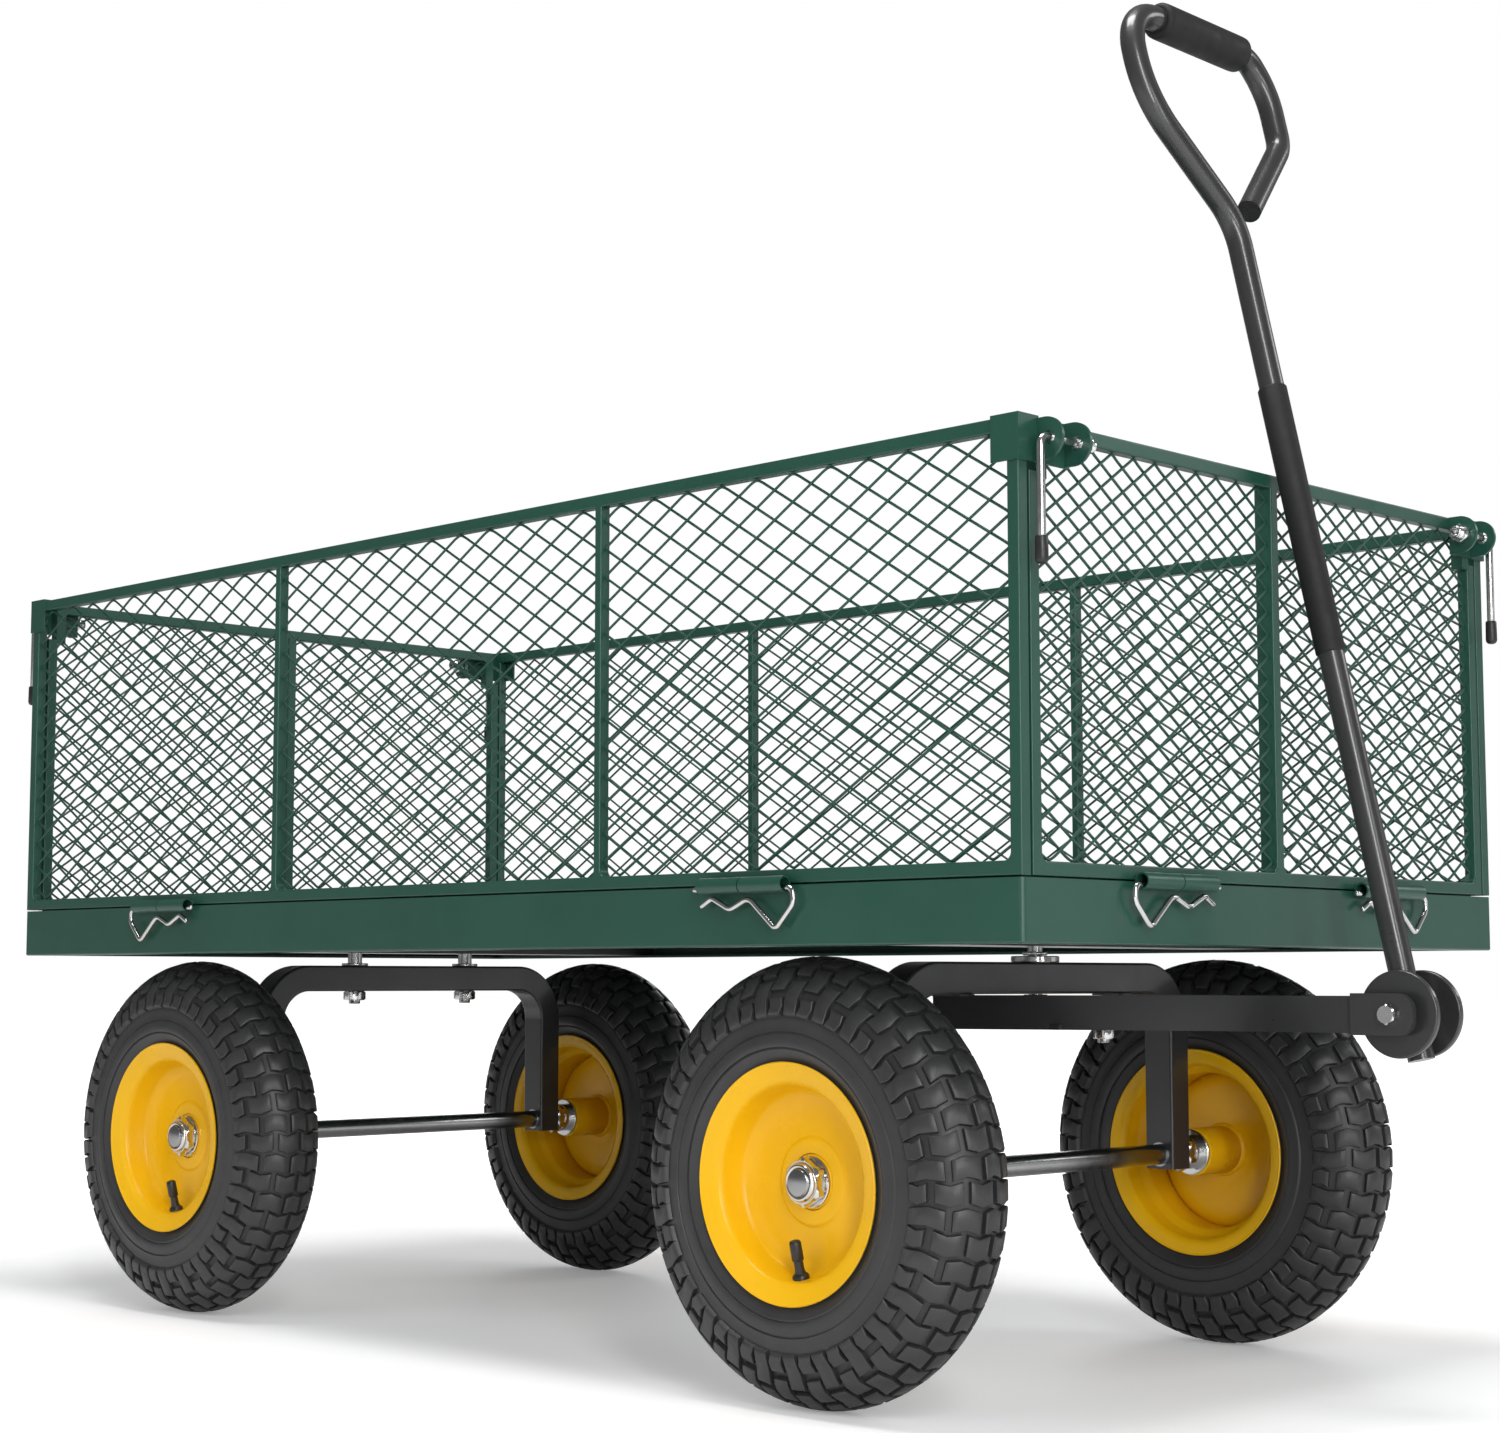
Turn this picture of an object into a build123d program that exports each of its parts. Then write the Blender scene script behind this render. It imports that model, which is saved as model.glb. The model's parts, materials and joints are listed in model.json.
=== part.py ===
from build123d import *
import os

# Garden cart with a flat bed, four folding mesh gates, a steered front axle
# and a parked pull handle. Millimetres, +X forward (towards the pull handle),
# +Y to the cart's left, +Z up. The origin is on the ground under the middle
# of the whole cart.

# ---------------------------------------------------------------- bed
BED_LENGTH = 1258.0
BED_WIDTH = 610.0
SKIRT_BOTTOM = 331.5
SKIRT_TOP = 375.0
SKIRT_SHEET = 2.5
SKIRT_CORNER = 4.0
LEDGE_WIDTH = 25.0
LEDGE_TOP = 371.0
LIP_WIDTH = 22.0
DECK_SHEET = 2.0
DECK_UPSTAND = 7.5
DECK_UPSTAND_SHEET = 2.5
CROSS_RAIL_WIDTH = 40.0
CROSS_RAIL_HEIGHT = 25.0
BOLSTER_WIDTH = 70.0
BOX_WALL = 3.0

# ---------------------------------------------------------------- gates
GATE_INSET = 0.5
GATE_BOTTOM = 376.2
GATE_TOP = 683.5
BAR = 10.0
STILE = 7.0
END_STILE = 9.0
END_STILE_DEPTH = 14.5
SIDE_STILE_OFFSET = 212.0
END_GATE_LENGTH = 585.0
END_NOTCH_WIDTH = 8.5
END_NOTCH_HEIGHT = 36.0
BAR_ROUND = 1.2
OPENING_CORNER = 6.0
WIRE = 2.2
MESH_DEPTH = 3.8
SIDE_DIAMONDS = (6, 7)
END_DIAMONDS = (6, 9)

# ---------------------------------------------------------------- gate hinges
HINGE_STANDOFF = 6.6
HINGE_Z = 375.5
BARREL_RADIUS = 6.0
BARREL_BORE = 4.8
BARREL_LENGTH = 42.0
BARREL_GAP = 1.0
SIDE_HINGE_X = 377.0
END_HINGE_X = 140.0
CLIP_WIRE = 2.1
CLIP_DROP = 2.4

# ---------------------------------------------------------------- corner latches
LATCH_REACH = 12.0
LATCH_Z = 668.5
SHEET = 2.0
EAR_SHEET = 2.5
CAP_LENGTH = 22.0
CAP_BOTTOM = 653.0
CAP_TOP = 685.0
EAR_RADIUS = 14.5
EAR_HOLE = 4.75
SIDE_EAR_IN = 17.5
CATCH_EAR = 254.5
CATCH_PLATE_END = 284.0
CATCH_NUT_FLATS = 14.0
CATCH_NUT_LENGTH = 7.0
CATCH_STUD_RADIUS = 5.0
CATCH_STUD_LENGTH = 14.0
PIN_RADIUS = 3.0
PIN_BORE = 3.4
PIN_TIP = 258.0
PIN_ARM = 296.0
PIN_BEND = 6.5
PIN_ARM_BOTTOM = 584.0
TIP_TOP = 601.0
TIP_BOTTOM = 582.0
TIP_RADIUS = 4.6

# ---------------------------------------------------------------- running gear
TYRE_RADIUS = 162.5
TRACK_HALF = 250.2
FRONT_AXLE_BACK = 232.0
REAR_AXLE_BACK = 1032.0
TUBE_HEIGHT = 25.0
TUBE_WIDTH = 27.5
TUBE_WALL = 2.5
BEAM_TOP = 321.5
LEG_OUTER = 188.0
LEG_BOTTOM = 150.5
BEAM_BEND = 42.0
AXLE_RADIUS = 8.5
SPINDLE_RADIUS = 10.0
AXLE_HALF = 276.5
STUD_Y = 70.0
STUD_RADIUS = 6.0
STUD_SHOULDER = 7.0
STUD_NUT_FLATS = 19.0
STUD_NUT_HEIGHT = 9.0

# ---------------------------------------------------------------- wheels
RIM_RADIUS = 86.7
RIM_HALF = 39.6
BEAD_RADIUS = 76.5
WELL_RADIUS = 68.5
RIM_SHEET = 2.5
DISC_FACE = 8.5
HUB_RADIUS = 20.0
HUB_INNER = -41.0
HUB_OUTER = 10.0
BEARING_RADIUS = 18.0
BEARING_WIDTH = 12.0
BEARING_BORE = 10.06
AXLE_NUT_FLATS = 32.0
AXLE_NUT_HEX = 8.5
AXLE_NUT_COLLAR = 14.0
WASHER_RADIUS = 19.0
INNER_NUT = 10.0
INNER_NUT_FLATS = 27.0
WASHER_SHEET = 2.5
VALVE_REACH = 22.0
VALVE_ROOT = 67.0

# ---------------------------------------------------------------- steering
KINGPIN_RADIUS = 5.5
RUNNING_GAP = 0.08
THRUST_RADIUS = 19.25
THRUST_HEIGHT = 5.0
KINGPIN_BOSS = 6.0
KINGPIN_NUT_FLATS = 19.0
KINGPIN_NUT_HEIGHT = 10.5
DRAWBAR_SHEET = 5.0
DRAWBAR_TOP = 296.0
DRAWBAR_BOTTOM = 270.0
DRAWBAR_BEND = 180.0
DRAWBAR_FRONT_Y = 22.5
DRAWBAR_REAR_Y = 108.0
BRACE_BACK = 165.0
CLEVIS_OUTER = 30.0
CLEVIS_HEIGHT = 29.5
CLEVIS_OVERLAP = 31.0
CLEVIS_NOSE = 18.5
CLEVIS_CORNER = 12.0

# ---------------------------------------------------------------- pull handle
PIVOT_AHEAD = 104.5
PIVOT_Z = 283.5
HANDLE_LEAN = 12.7
HANDLE_TUBE = 9.5
HANDLE_WALL = 1.8
HANDLE_FOOT = 33.0
DISC_RADIUS = 31.0
DISC_INNER = 13.0
DISC_OUTER = 18.5
PIVOT_BOLT = 4.0
PIVOT_BOLT_FLATS = 13.0
SLEEVE_RADIUS = 10.9
SLEEVE_START = 268.0
SLEEVE_END = 478.5
GRIP_RADIUS = 14.5
GRIP_START = -48.0
GRIP_END = 61.5
LOOP_TOP = 775.0

# ---------------------------------------------------------------- derived
# The cart reaches further ahead of the bed (handle pivot) than behind it
# (rear latch ears), so the bed sits behind the origin by half the difference.
EAR_TIP = LATCH_REACH - 3.0 + EAR_RADIUS
BED_SHIFT = -(PIVOT_AHEAD + DISC_RADIUS - EAR_TIP) / 2
FRONT_X = BED_SHIFT + BED_LENGTH / 2
REAR_X = BED_SHIFT - BED_LENGTH / 2
FRONT_AXLE_X = FRONT_X - FRONT_AXLE_BACK
REAR_AXLE_X = FRONT_X - REAR_AXLE_BACK
PIVOT_X = FRONT_X + PIVOT_AHEAD
GATE_HEIGHT = GATE_TOP - GATE_BOTTOM
SIDE_GATE_LENGTH = BED_LENGTH - 2 * GATE_INSET
LIP_TOP = SKIRT_BOTTOM + SKIRT_SHEET
BEAM_Z = BEAM_TOP - TUBE_HEIGHT / 2
BEAM_BOTTOM = BEAM_TOP - TUBE_HEIGHT
LEG_Y = LEG_OUTER - TUBE_HEIGHT / 2


# ---------------------------------------------------------------- helpers
def block(x0, x1, y0, y1, z0, z1):
    """A box between two opposite corners."""
    centre = ((x0 + x1) / 2, (y0 + y1) / 2, (z0 + z1) / 2)
    return Pos(*centre) * Box(abs(x1 - x0), abs(y1 - y0), abs(z1 - z0))


def rod(start, end, radius):
    """A round bar from one point to another."""
    span = Vector(*end) - Vector(*start)
    plane = Plane(origin=start, z_dir=span)
    return plane * Cylinder(radius, span.length, align=(Align.CENTER, Align.CENTER, Align.MIN))


def tube(start, end, radius, bore):
    """A round tube from one point to another."""
    return rod(start, end, radius) - rod(start, end, bore)


def hexagon_bar(start, end, flats):
    """A hexagonal bar whose width across flats is given."""
    span = Vector(*end) - Vector(*start)
    plane = Plane(origin=start, z_dir=span)
    profile = plane * RegularPolygon(flats / 2, 6, major_radius=False)
    return extrude(profile, span.length)


def bent_wire(points, radii, radius):
    """A round wire along straight runs joined by arcs."""
    path = FilletPolyline(*points, radius=radii)
    start = Plane(origin=path @ 0, z_dir=path % 0)
    return sweep(start * Circle(radius), path=path)


def d_plate(sheet, tail, radius):
    """A D-shaped ear in the XZ plane: flat tail towards -X, round end about the origin."""
    outline = Circle(radius) + Pos(-tail / 2, 0) * Rectangle(tail, 2 * radius)
    outline -= Pos(-tail - radius, 0) * Rectangle(2 * radius, 2 * radius + 1)
    plate = extrude(Plane.XZ * outline, sheet / 2, both=True)
    return plate


def write(name, shape):
    """Export one node, however many solids it holds."""
    solids = []
    for item in shape if isinstance(shape, list) else [shape]:
        solids.extend(item.solids())
    whole = solids[0] if len(solids) == 1 else Compound(solids)
    export_step(whole, f"parts/{name}.step")


# ---------------------------------------------------------------- bed
def bed_ring(depth, z0, z1):
    """A rectangular ring just inside the skirt's outline."""
    height = z1 - z0
    outside = extrude(RectangleRounded(BED_LENGTH, BED_WIDTH, SKIRT_CORNER), height)
    inside = extrude(Rectangle(BED_LENGTH - 2 * depth, BED_WIDTH - 2 * depth), height)
    return Pos(BED_SHIFT, 0, z0) * (outside - inside)


def bed_frame():
    """Pressed skirt with a ledge for the deck and a turned-in lower lip."""
    web = bed_ring(SKIRT_SHEET, SKIRT_BOTTOM, SKIRT_TOP)
    ledge = bed_ring(LEDGE_WIDTH, LEDGE_TOP - SKIRT_SHEET, LEDGE_TOP)
    lip = bed_ring(LIP_WIDTH, SKIRT_BOTTOM, LIP_TOP)
    frame = web + ledge + lip
    rim = frame.faces().sort_by(Axis.Z)[0].outer_wire().edges()
    return fillet(rim, 1.6)


def floor_deck():
    """Sheet deck that rests on the ledge, with an upstand that the gates close against."""
    length = BED_LENGTH - 2 * SKIRT_SHEET - 1
    width = BED_WIDTH - 2 * SKIRT_SHEET - 1
    deck = extrude(RectangleRounded(length, width, SKIRT_CORNER), DECK_SHEET)
    clear = 2 * (GATE_INSET + BAR + 1)
    inner = clear + 2 * DECK_UPSTAND_SHEET
    upstand = extrude(Rectangle(BED_LENGTH - clear, BED_WIDTH - clear), DECK_UPSTAND)
    upstand -= extrude(Rectangle(BED_LENGTH - inner, BED_WIDTH - inner), DECK_UPSTAND)
    return Pos(BED_SHIFT, 0, LEDGE_TOP) * (deck + upstand)


def box_rail(x, width, z0, z1):
    """A box-section rail across the bed, centred on x."""
    reach = BED_WIDTH / 2 - SKIRT_SHEET
    outside = block(x - width / 2, x + width / 2, -reach, reach, z0, z1)
    wall = BOX_WALL
    inside = block(x - width / 2 + wall, x + width / 2 - wall, -reach, reach, z0 + wall, z1 - wall)
    return outside - inside


def floor_supports():
    """Two deep bolsters over the axles and three lighter rails under the deck."""
    top = LEDGE_TOP - SKIRT_SHEET
    pieces = []
    for x in (FRONT_AXLE_X, REAR_AXLE_X):
        bolster = box_rail(x, BOLSTER_WIDTH, LIP_TOP, top)
        if x == REAR_AXLE_X:
            for side in (-1, 1):
                y = side * STUD_Y
                bolster -= rod((x, y, LIP_TOP - 1), (x, y, top - BOX_WALL), STUD_RADIUS)
        else:
            bolster -= rod((x, 0, LIP_TOP - 1), (x, 0, top - BOX_WALL), KINGPIN_RADIUS)
        pieces.append(bolster)
    middle = (FRONT_AXLE_X + REAR_AXLE_X) / 2
    for x in (middle - 200, middle, middle + 200):
        pieces.append(box_rail(x, CROSS_RAIL_WIDTH, top - CROSS_RAIL_HEIGHT, top))
    return pieces


# ---------------------------------------------------------------- gates
# Every gate is made in gate space: X along the gate from its middle, Z up,
# the outer face at Y = 0 and the inside of the cart at Y > 0.
def to_right(shape):
    """Gate space to the cart's right side (-Y)."""
    return Pos(BED_SHIFT, -BED_WIDTH / 2 + GATE_INSET, 0) * shape


def to_left(shape):
    """Gate space to the cart's left side (+Y)."""
    return Pos(BED_SHIFT, BED_WIDTH / 2 - GATE_INSET, 0) * Rot(0, 0, 180) * shape


def to_front(shape):
    """Gate space to the front end (+X)."""
    return Pos(FRONT_X - GATE_INSET, 0, 0) * Rot(0, 0, 90) * shape


def to_rear(shape):
    """Gate space to the rear end (-X)."""
    return Pos(REAR_X + GATE_INSET, 0, 0) * Rot(0, 0, -90) * shape


def bay_edges(length, stiles, stile):
    """The clear spans between the posts and stiles, left to right."""
    edges = [-length / 2 + BAR]
    for x in stiles:
        edges += [x - stile / 2, x + stile / 2]
    edges.append(length / 2 - BAR)
    return list(zip(edges[0::2], edges[1::2]))


def hinge_barrel(x0, x1, up):
    """A rolled barrel with its weld to the gate (up = 1) or the skirt (up = -1)."""
    axis_y = -HINGE_STANDOFF + (-GATE_INSET)
    barrel = rod((x0, axis_y, HINGE_Z), (x1, axis_y, HINGE_Z), BARREL_RADIUS)
    face_y = 0 if up > 0 else -GATE_INSET
    weld_start = HINGE_Z + up * 1.6
    barrel += block(x0, x1, axis_y + 3.6, face_y, weld_start, HINGE_Z + up * 4.6)
    low, high = min(x0, x1) - 1, max(x0, x1) + 1
    return barrel - rod((low, axis_y, HINGE_Z), (high, axis_y, HINGE_Z), BARREL_BORE)


def hinge_ends(hinge_x, side):
    """The outer and inner end of a hinge, counted from the middle of the gate."""
    total = 2 * BARREL_LENGTH + BARREL_GAP
    return side * (hinge_x + total / 2), side * (hinge_x - total / 2)


def bay_outline(x0, x1):
    """The opening of one bay, with its lower corners rounded."""
    z0 = GATE_BOTTOM + BAR
    z1 = GATE_TOP - BAR
    opening = Plane.XZ * (Pos((x0 + x1) / 2, (z0 + z1) / 2) * Rectangle(x1 - x0, z1 - z0))
    lower = opening.vertices().group_by(Axis.Z)[0]
    return fillet(lower, OPENING_CORNER)


def gate_frame(length, stiles, stile, hinge_x, notched):
    """Welded square-bar frame with its stiles and its half of the hinge barrels."""
    half = length / 2
    frame = block(-half, half, 0, BAR, GATE_BOTTOM, GATE_TOP)
    for x0, x1 in bay_edges(length, stiles, stile):
        frame -= extrude(bay_outline(x0, x1), BAR + 1, both=True)
    frame = fillet(frame.edges().filter_by(Axis.Y, reverse=True), BAR_ROUND)
    if notched:
        step = GATE_TOP - END_NOTCH_HEIGHT
        for side in (-1, 1):
            x_in = side * (half - END_NOTCH_WIDTH)
            frame -= block(x_in, side * (half + 1), -1, BAR + 1, step, GATE_TOP + 1)
            frame += block(x_in, x_in - side * BAR, 0, BAR, step - 4, GATE_TOP - BAR_ROUND)
        for x in stiles:
            z0, z1 = GATE_BOTTOM + BAR - 1, GATE_TOP - BAR + 1
            frame += block(x - stile / 2, x + stile / 2, BAR_ROUND, END_STILE_DEPTH, z0, z1)
    for side in (-1, 1):
        inner = hinge_ends(hinge_x, side)[1]
        frame += hinge_barrel(inner, inner + side * BARREL_LENGTH, 1)
    return frame


def bed_barrels(hinge_x):
    """The bed's half of one gate's hinge barrels."""
    pieces = []
    for side in (-1, 1):
        outer = hinge_ends(hinge_x, side)[0]
        pieces.append(hinge_barrel(outer, outer - side * BARREL_LENGTH, -1))
    return pieces


def diamond(x, z, half_x, half_z):
    """One diamond hole of the mesh, as a closed wire in the XZ plane."""
    corners = [(x - half_x, 0, z), (x, 0, z - half_z), (x + half_x, 0, z), (x, 0, z + half_z)]
    return Wire(Polyline(*corners, close=True).edges())


def mesh_bay(x0, x1, diamonds):
    """The expanded mesh of one bay: a flat lattice set in the middle of the bars' depth."""
    columns, rows = diamonds
    z0 = GATE_BOTTOM + BAR
    pitch_x = (x1 - x0) / columns
    pitch_z = (GATE_TOP - BAR - z0) / rows
    slope = (pitch_x ** 2 + pitch_z ** 2) ** 0.5
    half_x = pitch_x / 2 - WIRE * slope / (2 * pitch_z)
    half_z = pitch_z / 2 - WIRE * slope / (2 * pitch_x)
    holes = []
    for i in range(columns):
        for j in range(rows):
            holes.append(diamond(x0 + (i + 0.5) * pitch_x, z0 + (j + 0.5) * pitch_z, half_x, half_z))
    for i in range(1, columns):
        for j in range(1, rows):
            holes.append(diamond(x0 + i * pitch_x, z0 + j * pitch_z, half_x, half_z))
    outer = bay_outline(x0, x1).wire()
    lattice = extrude(Face(outer, holes), MESH_DEPTH, dir=(0, 1, 0))
    return Pos(0, (BAR - MESH_DEPTH) / 2, 0) * lattice


def gate_mesh(length, stiles, stile, diamonds, notched):
    """One lattice for each bay of a gate."""
    bays = [mesh_bay(x0, x1, diamonds) for x0, x1 in bay_edges(length, stiles, stile)]
    if notched:
        step = GATE_TOP - END_NOTCH_HEIGHT - 4
        inner = length / 2 - END_NOTCH_WIDTH - BAR
        bays[0] -= block(-length / 2, -inner, 0, BAR, step, GATE_TOP)
        bays[-1] -= block(inner, length / 2, 0, BAR, step, GATE_TOP)
    return bays


def side_caps():
    """Bent corner caps of a side gate, each with the ear that carries a latch pin."""
    caps = []
    half = SIDE_GATE_LENGTH / 2
    for side in (-1, 1):
        edge = side * half
        cap = block(edge - side * CAP_LENGTH, edge + side * SHEET, -SHEET, 0, CAP_BOTTOM, CAP_TOP)
        cap += block(edge, edge + side * SHEET, -SHEET, SIDE_EAR_IN + EAR_SHEET, CAP_BOTTOM, CAP_TOP)
        cap += block(edge - side * CAP_LENGTH, edge + side * SHEET, -SHEET, BAR, GATE_TOP, CAP_TOP)
        reach = LATCH_REACH - 3.0 + GATE_INSET
        turn = Rot(0, 0, 0) if side > 0 else Rot(0, 0, 180)
        ear = turn * d_plate(EAR_SHEET, reach, EAR_RADIUS)
        cap += Pos(edge + side * reach, SIDE_EAR_IN + EAR_SHEET / 2, LATCH_Z) * ear
        pin_x = edge + side * (LATCH_REACH + GATE_INSET)
        cap -= rod((pin_x, SIDE_EAR_IN - 3, LATCH_Z), (pin_x, SIDE_EAR_IN + 5, LATCH_Z), EAR_HOLE)
        caps.append(cap)
    return caps


def catch_brackets():
    """Plates on an end gate's upper corners, each bent out into the second latch ear."""
    brackets = []
    for side in (-1, 1):
        plate = block(side * CATCH_EAR, side * CATCH_PLATE_END, -SHEET, 0, CAP_BOTTOM, GATE_TOP)
        reach = LATCH_REACH - 3.0 + GATE_INSET
        ear = Rot(0, 0, -90) * d_plate(EAR_SHEET, reach, EAR_RADIUS + 0.5)
        plate += Pos(side * (CATCH_EAR + EAR_SHEET / 2), -reach, LATCH_Z) * ear
        pin_y = -(LATCH_REACH + GATE_INSET)
        plate -= rod((side * 250, pin_y, LATCH_Z), (side * 260, pin_y, LATCH_Z), CATCH_STUD_RADIUS)
        brackets.append(plate)
    return brackets


def catch_nuts():
    """Hollow threaded studs with their hexagon nuts on the second ears."""
    nuts = []
    pin_y = -(LATCH_REACH + GATE_INSET)
    for side in (-1, 1):
        inner = (side * CATCH_EAR, pin_y, LATCH_Z)
        face = (side * (CATCH_EAR - CATCH_NUT_LENGTH), pin_y, LATCH_Z)
        end = (side * (CATCH_EAR - CATCH_STUD_LENGTH), pin_y, LATCH_Z)
        outer = (side * (CATCH_EAR + EAR_SHEET), pin_y, LATCH_Z)
        nut = hexagon_bar(inner, face, CATCH_NUT_FLATS) + rod(outer, end, CATCH_STUD_RADIUS)
        nuts.append(nut - rod(outer, end, PIN_BORE))
    return nuts


# ---------------------------------------------------------------- hinge clips
def hinge_clips(hinge_x):
    """Two R-clips that pin one gate's hinges, pulled out towards the corners."""
    clips = []
    y = -HINGE_STANDOFF - GATE_INSET
    outline = [(93, -CLIP_DROP), (-7.5, -CLIP_DROP), (-8.5, -14), (9, -32), (36, -9.2), (55, -17.5),
               (73.5, -8.8), (85, -15)]
    bends = [5.5, 9, 4.6, 9, 9, 5]
    for side in (-1, 1):
        outer = hinge_ends(hinge_x, side)[0]
        points = [(outer - side * t, y, HINGE_Z + drop) for t, drop in outline]
        clips.append(bent_wire(points, bends, CLIP_WIRE))
    return clips


# ---------------------------------------------------------------- latch pins
def latch_pin(end, side):
    """L-shaped latch rod at one corner: end is +1 front or -1 rear, side is +1 left or -1 right."""
    x = corner_x(end)
    arm = side * PIN_ARM
    points = [(x, side * PIN_TIP, LATCH_Z), (x, arm, LATCH_Z), (x, arm, PIN_ARM_BOTTOM)]
    return bent_wire(points, [PIN_BEND], PIN_RADIUS)


def latch_tip(end, side):
    """Vinyl tip pushed over the hanging arm of a latch rod."""
    x = corner_x(end)
    y = side * PIN_ARM
    tip = rod((x, y, TIP_BOTTOM), (x, y, TIP_TOP), TIP_RADIUS)
    tip = fillet(tip.edges().group_by(Axis.Z)[0], 3.0)
    return tip - rod((x, y, PIN_ARM_BOTTOM), (x, y, TIP_TOP + 1), PIN_RADIUS)


def corner_x(end):
    """Where the latch axis stands, just past the front or the rear face."""
    return FRONT_X + LATCH_REACH if end > 0 else REAR_X - LATCH_REACH


# ---------------------------------------------------------------- axle frames
def axle_frame(x):
    """One box tube bent into an arch: beam across, a leg down at each side."""
    points = [(x, -LEG_Y, LEG_BOTTOM), (x, -LEG_Y, BEAM_Z), (x, LEG_Y, BEAM_Z), (x, LEG_Y, LEG_BOTTOM)]
    path = FilletPolyline(*points, radius=BEAM_BEND)
    start = Plane(origin=points[0], x_dir=(1, 0, 0), z_dir=(0, 0, 1))
    solid = sweep(start * RectangleRounded(TUBE_WIDTH, TUBE_HEIGHT, 2.0), path=path)
    hollow = sweep(start * Rectangle(TUBE_WIDTH - 2 * TUBE_WALL, TUBE_HEIGHT - 2 * TUBE_WALL), path=path)
    bar = solid - hollow
    return bar - rod((x, -LEG_OUTER - 1, TYRE_RADIUS), (x, LEG_OUTER + 1, TYRE_RADIUS), SPINDLE_RADIUS)


def front_axle_frame():
    """The steered frame, bored for the kingpin."""
    x = FRONT_AXLE_X
    bore = rod((x, 0, BEAM_BOTTOM - 1), (x, 0, BEAM_TOP + 1), KINGPIN_RADIUS + RUNNING_GAP)
    return axle_frame(x) - bore


def rear_axle_frame():
    """The fixed frame, bored for the two studs."""
    x = REAR_AXLE_X
    frame = axle_frame(x)
    for side in (-1, 1):
        frame -= rod((x, side * STUD_Y, BEAM_BOTTOM - 1), (x, side * STUD_Y, BEAM_TOP + 1), STUD_RADIUS)
    return frame


def rear_frame_bolts():
    """Shoulder studs that hang the rear frame under its bolster, with their nuts."""
    x = REAR_AXLE_X
    pieces = []
    for side in (-1, 1):
        y = side * STUD_Y
        stud = rod((x, y, BEAM_BOTTOM - STUD_NUT_HEIGHT - 3.5), (x, y, LIP_TOP + BOX_WALL + 20), STUD_RADIUS)
        stud += rod((x, y, BEAM_TOP), (x, y, LIP_TOP), STUD_SHOULDER)
        nut = hexagon_bar((x, y, BEAM_BOTTOM - STUD_NUT_HEIGHT), (x, y, BEAM_BOTTOM), STUD_NUT_FLATS)
        pieces += [stud, nut - rod((x, y, BEAM_BOTTOM - 20), (x, y, BEAM_BOTTOM + 1), STUD_RADIUS)]
    return pieces


def axle(x):
    """Round axle with larger threaded spindles outside the legs."""
    z = TYRE_RADIUS
    inner = LEG_Y - TUBE_HEIGHT / 2
    shaft = rod((x, -inner, z), (x, inner, z), AXLE_RADIUS)
    for side in (-1, 1):
        shaft += rod((x, side * inner, z), (x, side * AXLE_HALF, z), SPINDLE_RADIUS)
    return shaft


def axle_nuts(x):
    """Inner nut, spacer and washer, outer washer and collared lock nut at both ends of an axle."""
    pieces = []
    hub_in = TRACK_HALF + HUB_INNER
    hub_out = TRACK_HALF + HUB_OUTER
    for side in (-1, 1):
        def at(y):
            return (x, side * y, TYRE_RADIUS)
        washer_end = hub_out + 0.5 + WASHER_SHEET
        nut_end = washer_end + AXLE_NUT_HEX
        pieces.append(hexagon_bar(at(LEG_OUTER), at(LEG_OUTER + INNER_NUT), INNER_NUT_FLATS)
                      - rod(at(LEG_OUTER), at(LEG_OUTER + INNER_NUT), SPINDLE_RADIUS))
        pieces.append(tube(at(LEG_OUTER + INNER_NUT), at(hub_in - 3), WASHER_RADIUS - 5, SPINDLE_RADIUS))
        pieces.append(tube(at(hub_in - 3), at(hub_in - 0.5), WASHER_RADIUS, SPINDLE_RADIUS))
        pieces.append(tube(at(hub_out + 0.5), at(washer_end), WASHER_RADIUS, SPINDLE_RADIUS))
        nut = hexagon_bar(at(washer_end), at(nut_end), AXLE_NUT_FLATS)
        nut += rod(at(nut_end), at(AXLE_HALF - 0.8), AXLE_NUT_COLLAR)
        pieces.append(nut - rod(at(washer_end - 1), at(AXLE_HALF), SPINDLE_RADIUS))
    return pieces


# ---------------------------------------------------------------- wheels
# A wheel is turned about X here: X is the distance outboard of the tyre's
# middle plane and Y is the radius. place_wheel stands it on its axle.
def place_wheel(shape, x, side):
    """Stand a wheel piece on its axle; its outboard face looks away from the cart."""
    return Pos(x, side * TRACK_HALF, TYRE_RADIUS) * Rot(0, 0, side * 90) * shape


def turned(points):
    """A solid of revolution from a closed outline of (outboard, radius) points."""
    outline = make_face(Polyline(*points, close=True))
    return revolve(outline, Axis.X)


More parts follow.
